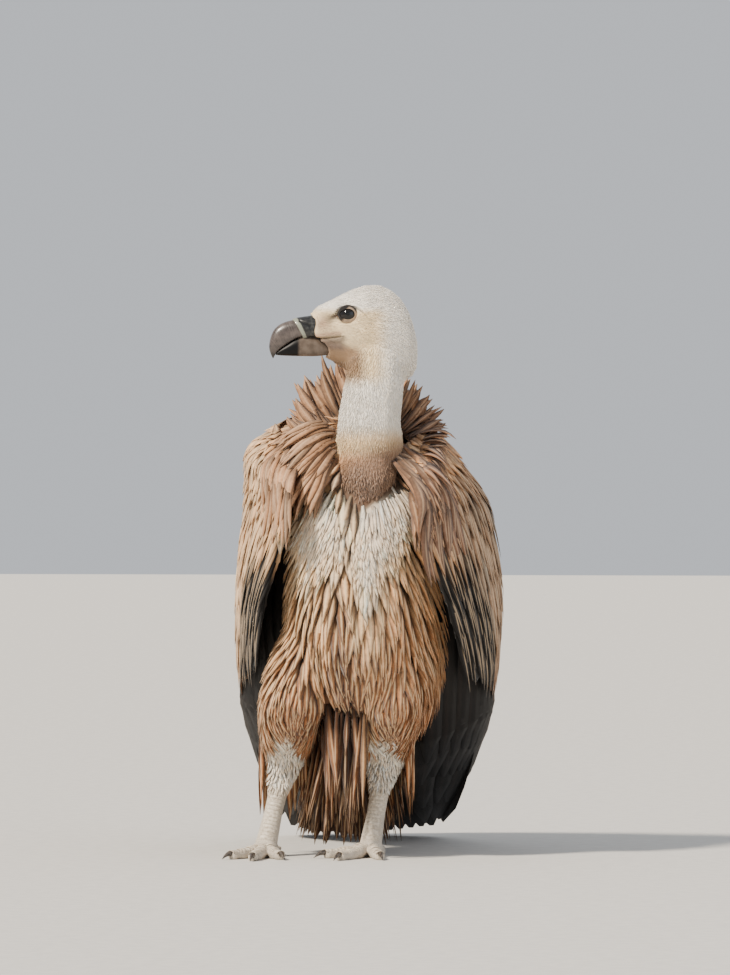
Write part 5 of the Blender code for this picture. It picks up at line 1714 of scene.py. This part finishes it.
# painted shade: lances on the bird's left, turned from the key lamp, are painted a darker brown
in_shade = fade(0.1, 0.14, lines[:, 4, 0] - ground.x)
marks = toned(blend(alike(linear("B08766"), len(lines)), linear("7E5D48"), in_shade), 0.2)
vanes("ruff_feathers", lines, ups, widths, lance(steps, 0.52, 2.3), marks, ruff_finish,
      ["ruff"])


# ---- scapulars and tertials ----
# Long tan lances from under the collar out over each shoulder, and down the back between the wings.
# They are rooted in the back's skin and close the folded wings to the body.
SCAPULARS, TERTIALS = 230, 130       # lances over each shoulder, and down the back between the wings
chest = ground_at + np.array((0.045, 0.03, 0.38))     # the shoulders bulge away from here
rows = []
for word in sides:
    side = side_of[word]
    number = SCAPULARS
    share = (np.arange(number) + rng.uniform(0, 1, number)) / number
    around = 0.5 + side * 0.4 * (1 - share)
    start = ruff_place(around, rng.uniform(0.1, 0.7, number))
    ends = [wing_place(side, np.full(number, along), share * 0.985, FORE) for along in (0.06, 0.17)]
    near_end, far_end = (spots + unit(spots - chest) * 0.0035 for spots in ends)
    rise = start + (near_end - start) * 0.4 + np.array((0.0, 0.0, 0.011))
    begin = rng.uniform(0.0, 0.5, number)[:, None]
    t = (begin + 0.5 * steps)[..., None]
    lines = (start[:, None] * (1 - t) ** 3 + rise[:, None] * 3 * t * (1 - t) ** 2
             + near_end[:, None] * 3 * t * t * (1 - t) + far_end[:, None] * t ** 3)
    out = unit(lines - chest)
    layer = rng.uniform(-0.0008, 0.0012, (number, 1)) - 0.0035 * (1 - steps) ** 1.5
    lines = lines + out * layer[..., None]
    ups = rolled(lines, out, float(rng.normal(0, 0.1)))
    rows.append((lines, ups, rng.uniform(0.0062, 0.0098, number)))
number = TERTIALS
share = rng.uniform(-0.25, 1.25, number)[:, None, None]
along = rng.uniform(-0.02, 0.56, number)[:, None] + 0.115 * steps
left_edge, right_edge = (wing_place(side, along, np.full(along.shape, 0.97), FORE) for side in (1, -1))
lines = right_edge * (1 - share) + left_edge * share
height = 0.0052 * steps[None, :, None] - 0.0012 + 0.004 * (0.5 - np.abs(share - 0.5))
off_back = np.array((0.0, 0.6, 0.8))
lines = lines + off_back * height
rows.append((lines, np.broadcast_to(unit(off_back), lines.shape), rng.uniform(0.0085, 0.012, number)))
lines, ups, widths = (np.concatenate(a) for a in zip(*rows))
marks = marking(lines[:, 5])
marks = blend(marks, WING_GREY * 0.7, 0.45 * fade(0.03, 0.14, lines[:, 5, 1] - ground.y))
vanes("scapular_feathers", lines, ups, widths, lance(steps, 0.5, 1.7), toned(marks, 0.2), covert_finish)


# ---- down of head and neck ----
# Short dense white down that lies back over the skull and down the neck: tiny curved tufts, shortest
# on the face, each a thin three-sided spike.
down_finish, tree = new_finish("white_down")
mark = add(tree, "Attribute", attribute_name="plumage")
lengthways = mapped(tree, "vane").node.outputs[1]
root_tone = add(tree, "MapRange", {0: lengthways, 2: 0.7, 3: 0.78, 4: 1.04}, **SOFTLY)
surfaced(tree, {"Base Color": darkened(tree, mark, root_tone), "Roughness": 0.9, "Sheen Weight": 0.35,
                "Sheen Roughness": 0.5, "Specular IOR Level": 0.25})


def spikes(name, roots, normals, headings, lengths, stand, marks):
    """Thin curved tufts: each rises from its root and bends over to lie along its heading."""
    across = unit(np.cross(headings, normals))
    mids = roots + headings * (lengths * 0.45)[:, None] + normals * (lengths * stand * 0.85)[:, None]
    tips = roots + headings * lengths[:, None] + normals * (lengths * stand)[:, None]
    rings = []
    for middle, share in ((roots - normals * 0.0006, 1.0), (mids, 0.82)):
        half = (lengths * stand * share / 2)[:, None]
        rings += [middle - across * half, middle + normals * half * 0.8, middle + across * half]
    corners = np.stack(rings + [tips], axis=1).reshape(-1, 3)
    base = np.arange(len(roots))[:, None] * 7
    faces = []
    for i in range(3):
        after = (i + 1) % 3
        for corner in ((i, after, 3 + after), (i, 3 + after, 3 + i), (3 + i, 3 + after, 6)):
            faces.append(base + np.array(corner))
    faces.append(base + np.array((2, 1, 0)))
    one_map = [(sideways, height) for height in (0.0, 0.5) for sideways in (0.0, 0.5, 1.0)] + [(0.5, 1.0)]
    mesh = mesh_from(name, corners, faces, np.tile(one_map, (len(roots), 1)), roots, marks)
    new_piece(name, mesh, down_finish, None)


def skin_scatter(wanted, spacing, seed):
    """As scattered, then dropped on to the finished skin."""
    spots, normals = scattered(wanted, spacing, seed)
    for i, spot in enumerate(spots):
        spots[i], normals[i] = skin_tree.find_nearest(spot)[:2]
    return spots, normals


def clear_of_face(spots):
    """No down on eyes, bill or cere."""
    fore, _, high = head_measures(spots)
    eye_gap = np.hypot((fore - EYE_FORWARD) / 1.08, high - EYE_UP)
    return (eye_gap > 0.0088) & (fore < 0.0745)


head_faces = (quad_kinds == "head") & (np.linalg.norm(quad_middles - skull_at, axis=1) < 0.1)
spots, normals = skin_scatter(head_faces, 0.0012, 51)
kept = clear_of_face(spots)
spots, normals = spots[kept], normals[kept]
fore = head_measures(spots)[0]
ways = -ahead_way - up_way * (0.25 + 0.9 * fade(0.0, -0.04, fore))[:, None]
headings = headed(ways, normals, 0.3, 52)
lengths = 0.0028 + 0.002 * fade(0.045, -0.02, fore)
lengths = lengths * np.random.default_rng(53).uniform(0.75, 1.25, len(spots))
spikes("head_down", spots, normals, headings, lengths, 0.17, toned(marking(spots), 0.03, 0.02))

neck_faces = np.isin(quad_kinds, ("neck", "crop")) & open_sky
neck_faces |= (quad_kinds == "crop") & (own_middles[:, 1] < -0.085)
neck_faces |= (quad_kinds == "head") & (quad_middles[:, 2] - skull.z < -0.045)
spots, normals = skin_scatter(neck_faces, 0.0016, 61)
headings = headed(np.array((0.0, 0.0, -1.0)), normals, 0.3, 62)
lengths = 0.0052 + 0.0022 * fade(0.46, 0.43, spots[:, 2] - ground.z)
lengths = lengths * np.random.default_rng(63).uniform(0.7, 1.3, len(spots))
spikes("neck_down", spots, normals, headings, lengths, 0.2, toned(marking(spots), 0.05, 0.02))


# ---- floor, light and camera ----
# A plain pale floor and soft studio light: one far, soft-edged lamp high on the bird's right front, and
# a weak wide one on the other side. The camera is nearly level, in front of the bird.
CAMERA_TURN, CAMERA_RISE = math.radians(6.0), math.radians(0.5)
CAMERA_FAR = 8.0
FRONT = 0.085            # the view is framed for the breast and head, this far before the aim
SENSOR = 36.0
VIEW_HIGH = 1.1154       # height of the view at the bird, in metres
AIM_SIDE, AIM_HIGH = 0.05, 0.426
aim = ground + Vector((AIM_SIDE * math.cos(CAMERA_TURN), AIM_SIDE * math.sin(CAMERA_TURN), AIM_HIGH))


def way_to(turn, rise):
    """The way from the bird to a place turned round it from its front and risen above the floor."""
    return Vector((math.sin(turn) * math.cos(rise), -math.cos(turn) * math.cos(rise), math.sin(rise)))


back = way_to(CAMERA_TURN, CAMERA_RISE)
camera_data = bpy.data.cameras.new("camera")
camera_data.sensor_width = SENSOR
camera_data.lens = SENSOR * (CAMERA_FAR - FRONT) / VIEW_HIGH
camera_data.clip_end = 50.0
camera = placed("camera", camera_data)
camera.location = aim + back * CAMERA_FAR
camera.rotation_euler = (-back).to_track_quat("-Z", "Y").to_euler()
bpy.context.scene.camera = camera

floor_finish, tree = new_finish("pale_studio_floor")
colour = clouded(tree, 60.0, 2.0, 0.3, 0.7, "CFCCC6", "D6D3CD")[2]
surfaced(tree, {"Base Color": colour, "Roughness": 0.85})
bpy.ops.mesh.primitive_plane_add(size=30.0)
floor = bpy.context.object
floor.name = "floor"
floor.data.materials.append(floor_finish)

world = bpy.data.worlds.new("studio")
world.use_nodes = True
world.node_tree.nodes["Background"].inputs[0].default_value = rgba(linear("E4E8EE"))
world.node_tree.nodes["Background"].inputs[1].default_value = 0.8
bpy.context.scene.world = world


def lamp(name, kind, turn, rise, far, size, power, colour):
    """A soft lamp that faces the bird from some way off."""
    light = bpy.data.lights.new(name, kind)
    if kind == "SUN":
        light.angle = size
    else:
        light.size = size
    light.energy = power
    light.color = [float(c) for c in colour]
    made = placed(name, light)
    way = way_to(turn, rise)
    made.location = aim + way * far
    made.rotation_euler = (-way).to_track_quat("-Z", "Y").to_euler()


lamp("key", "SUN", math.radians(-42.0), math.radians(44.0), 3.0, math.radians(6.0), 6.3, linear("FFF3E2"))
lamp("fill", "AREA", math.radians(60.0), math.radians(18.0), 3.2, 2.2, 14.0, linear("E6EEFF"))
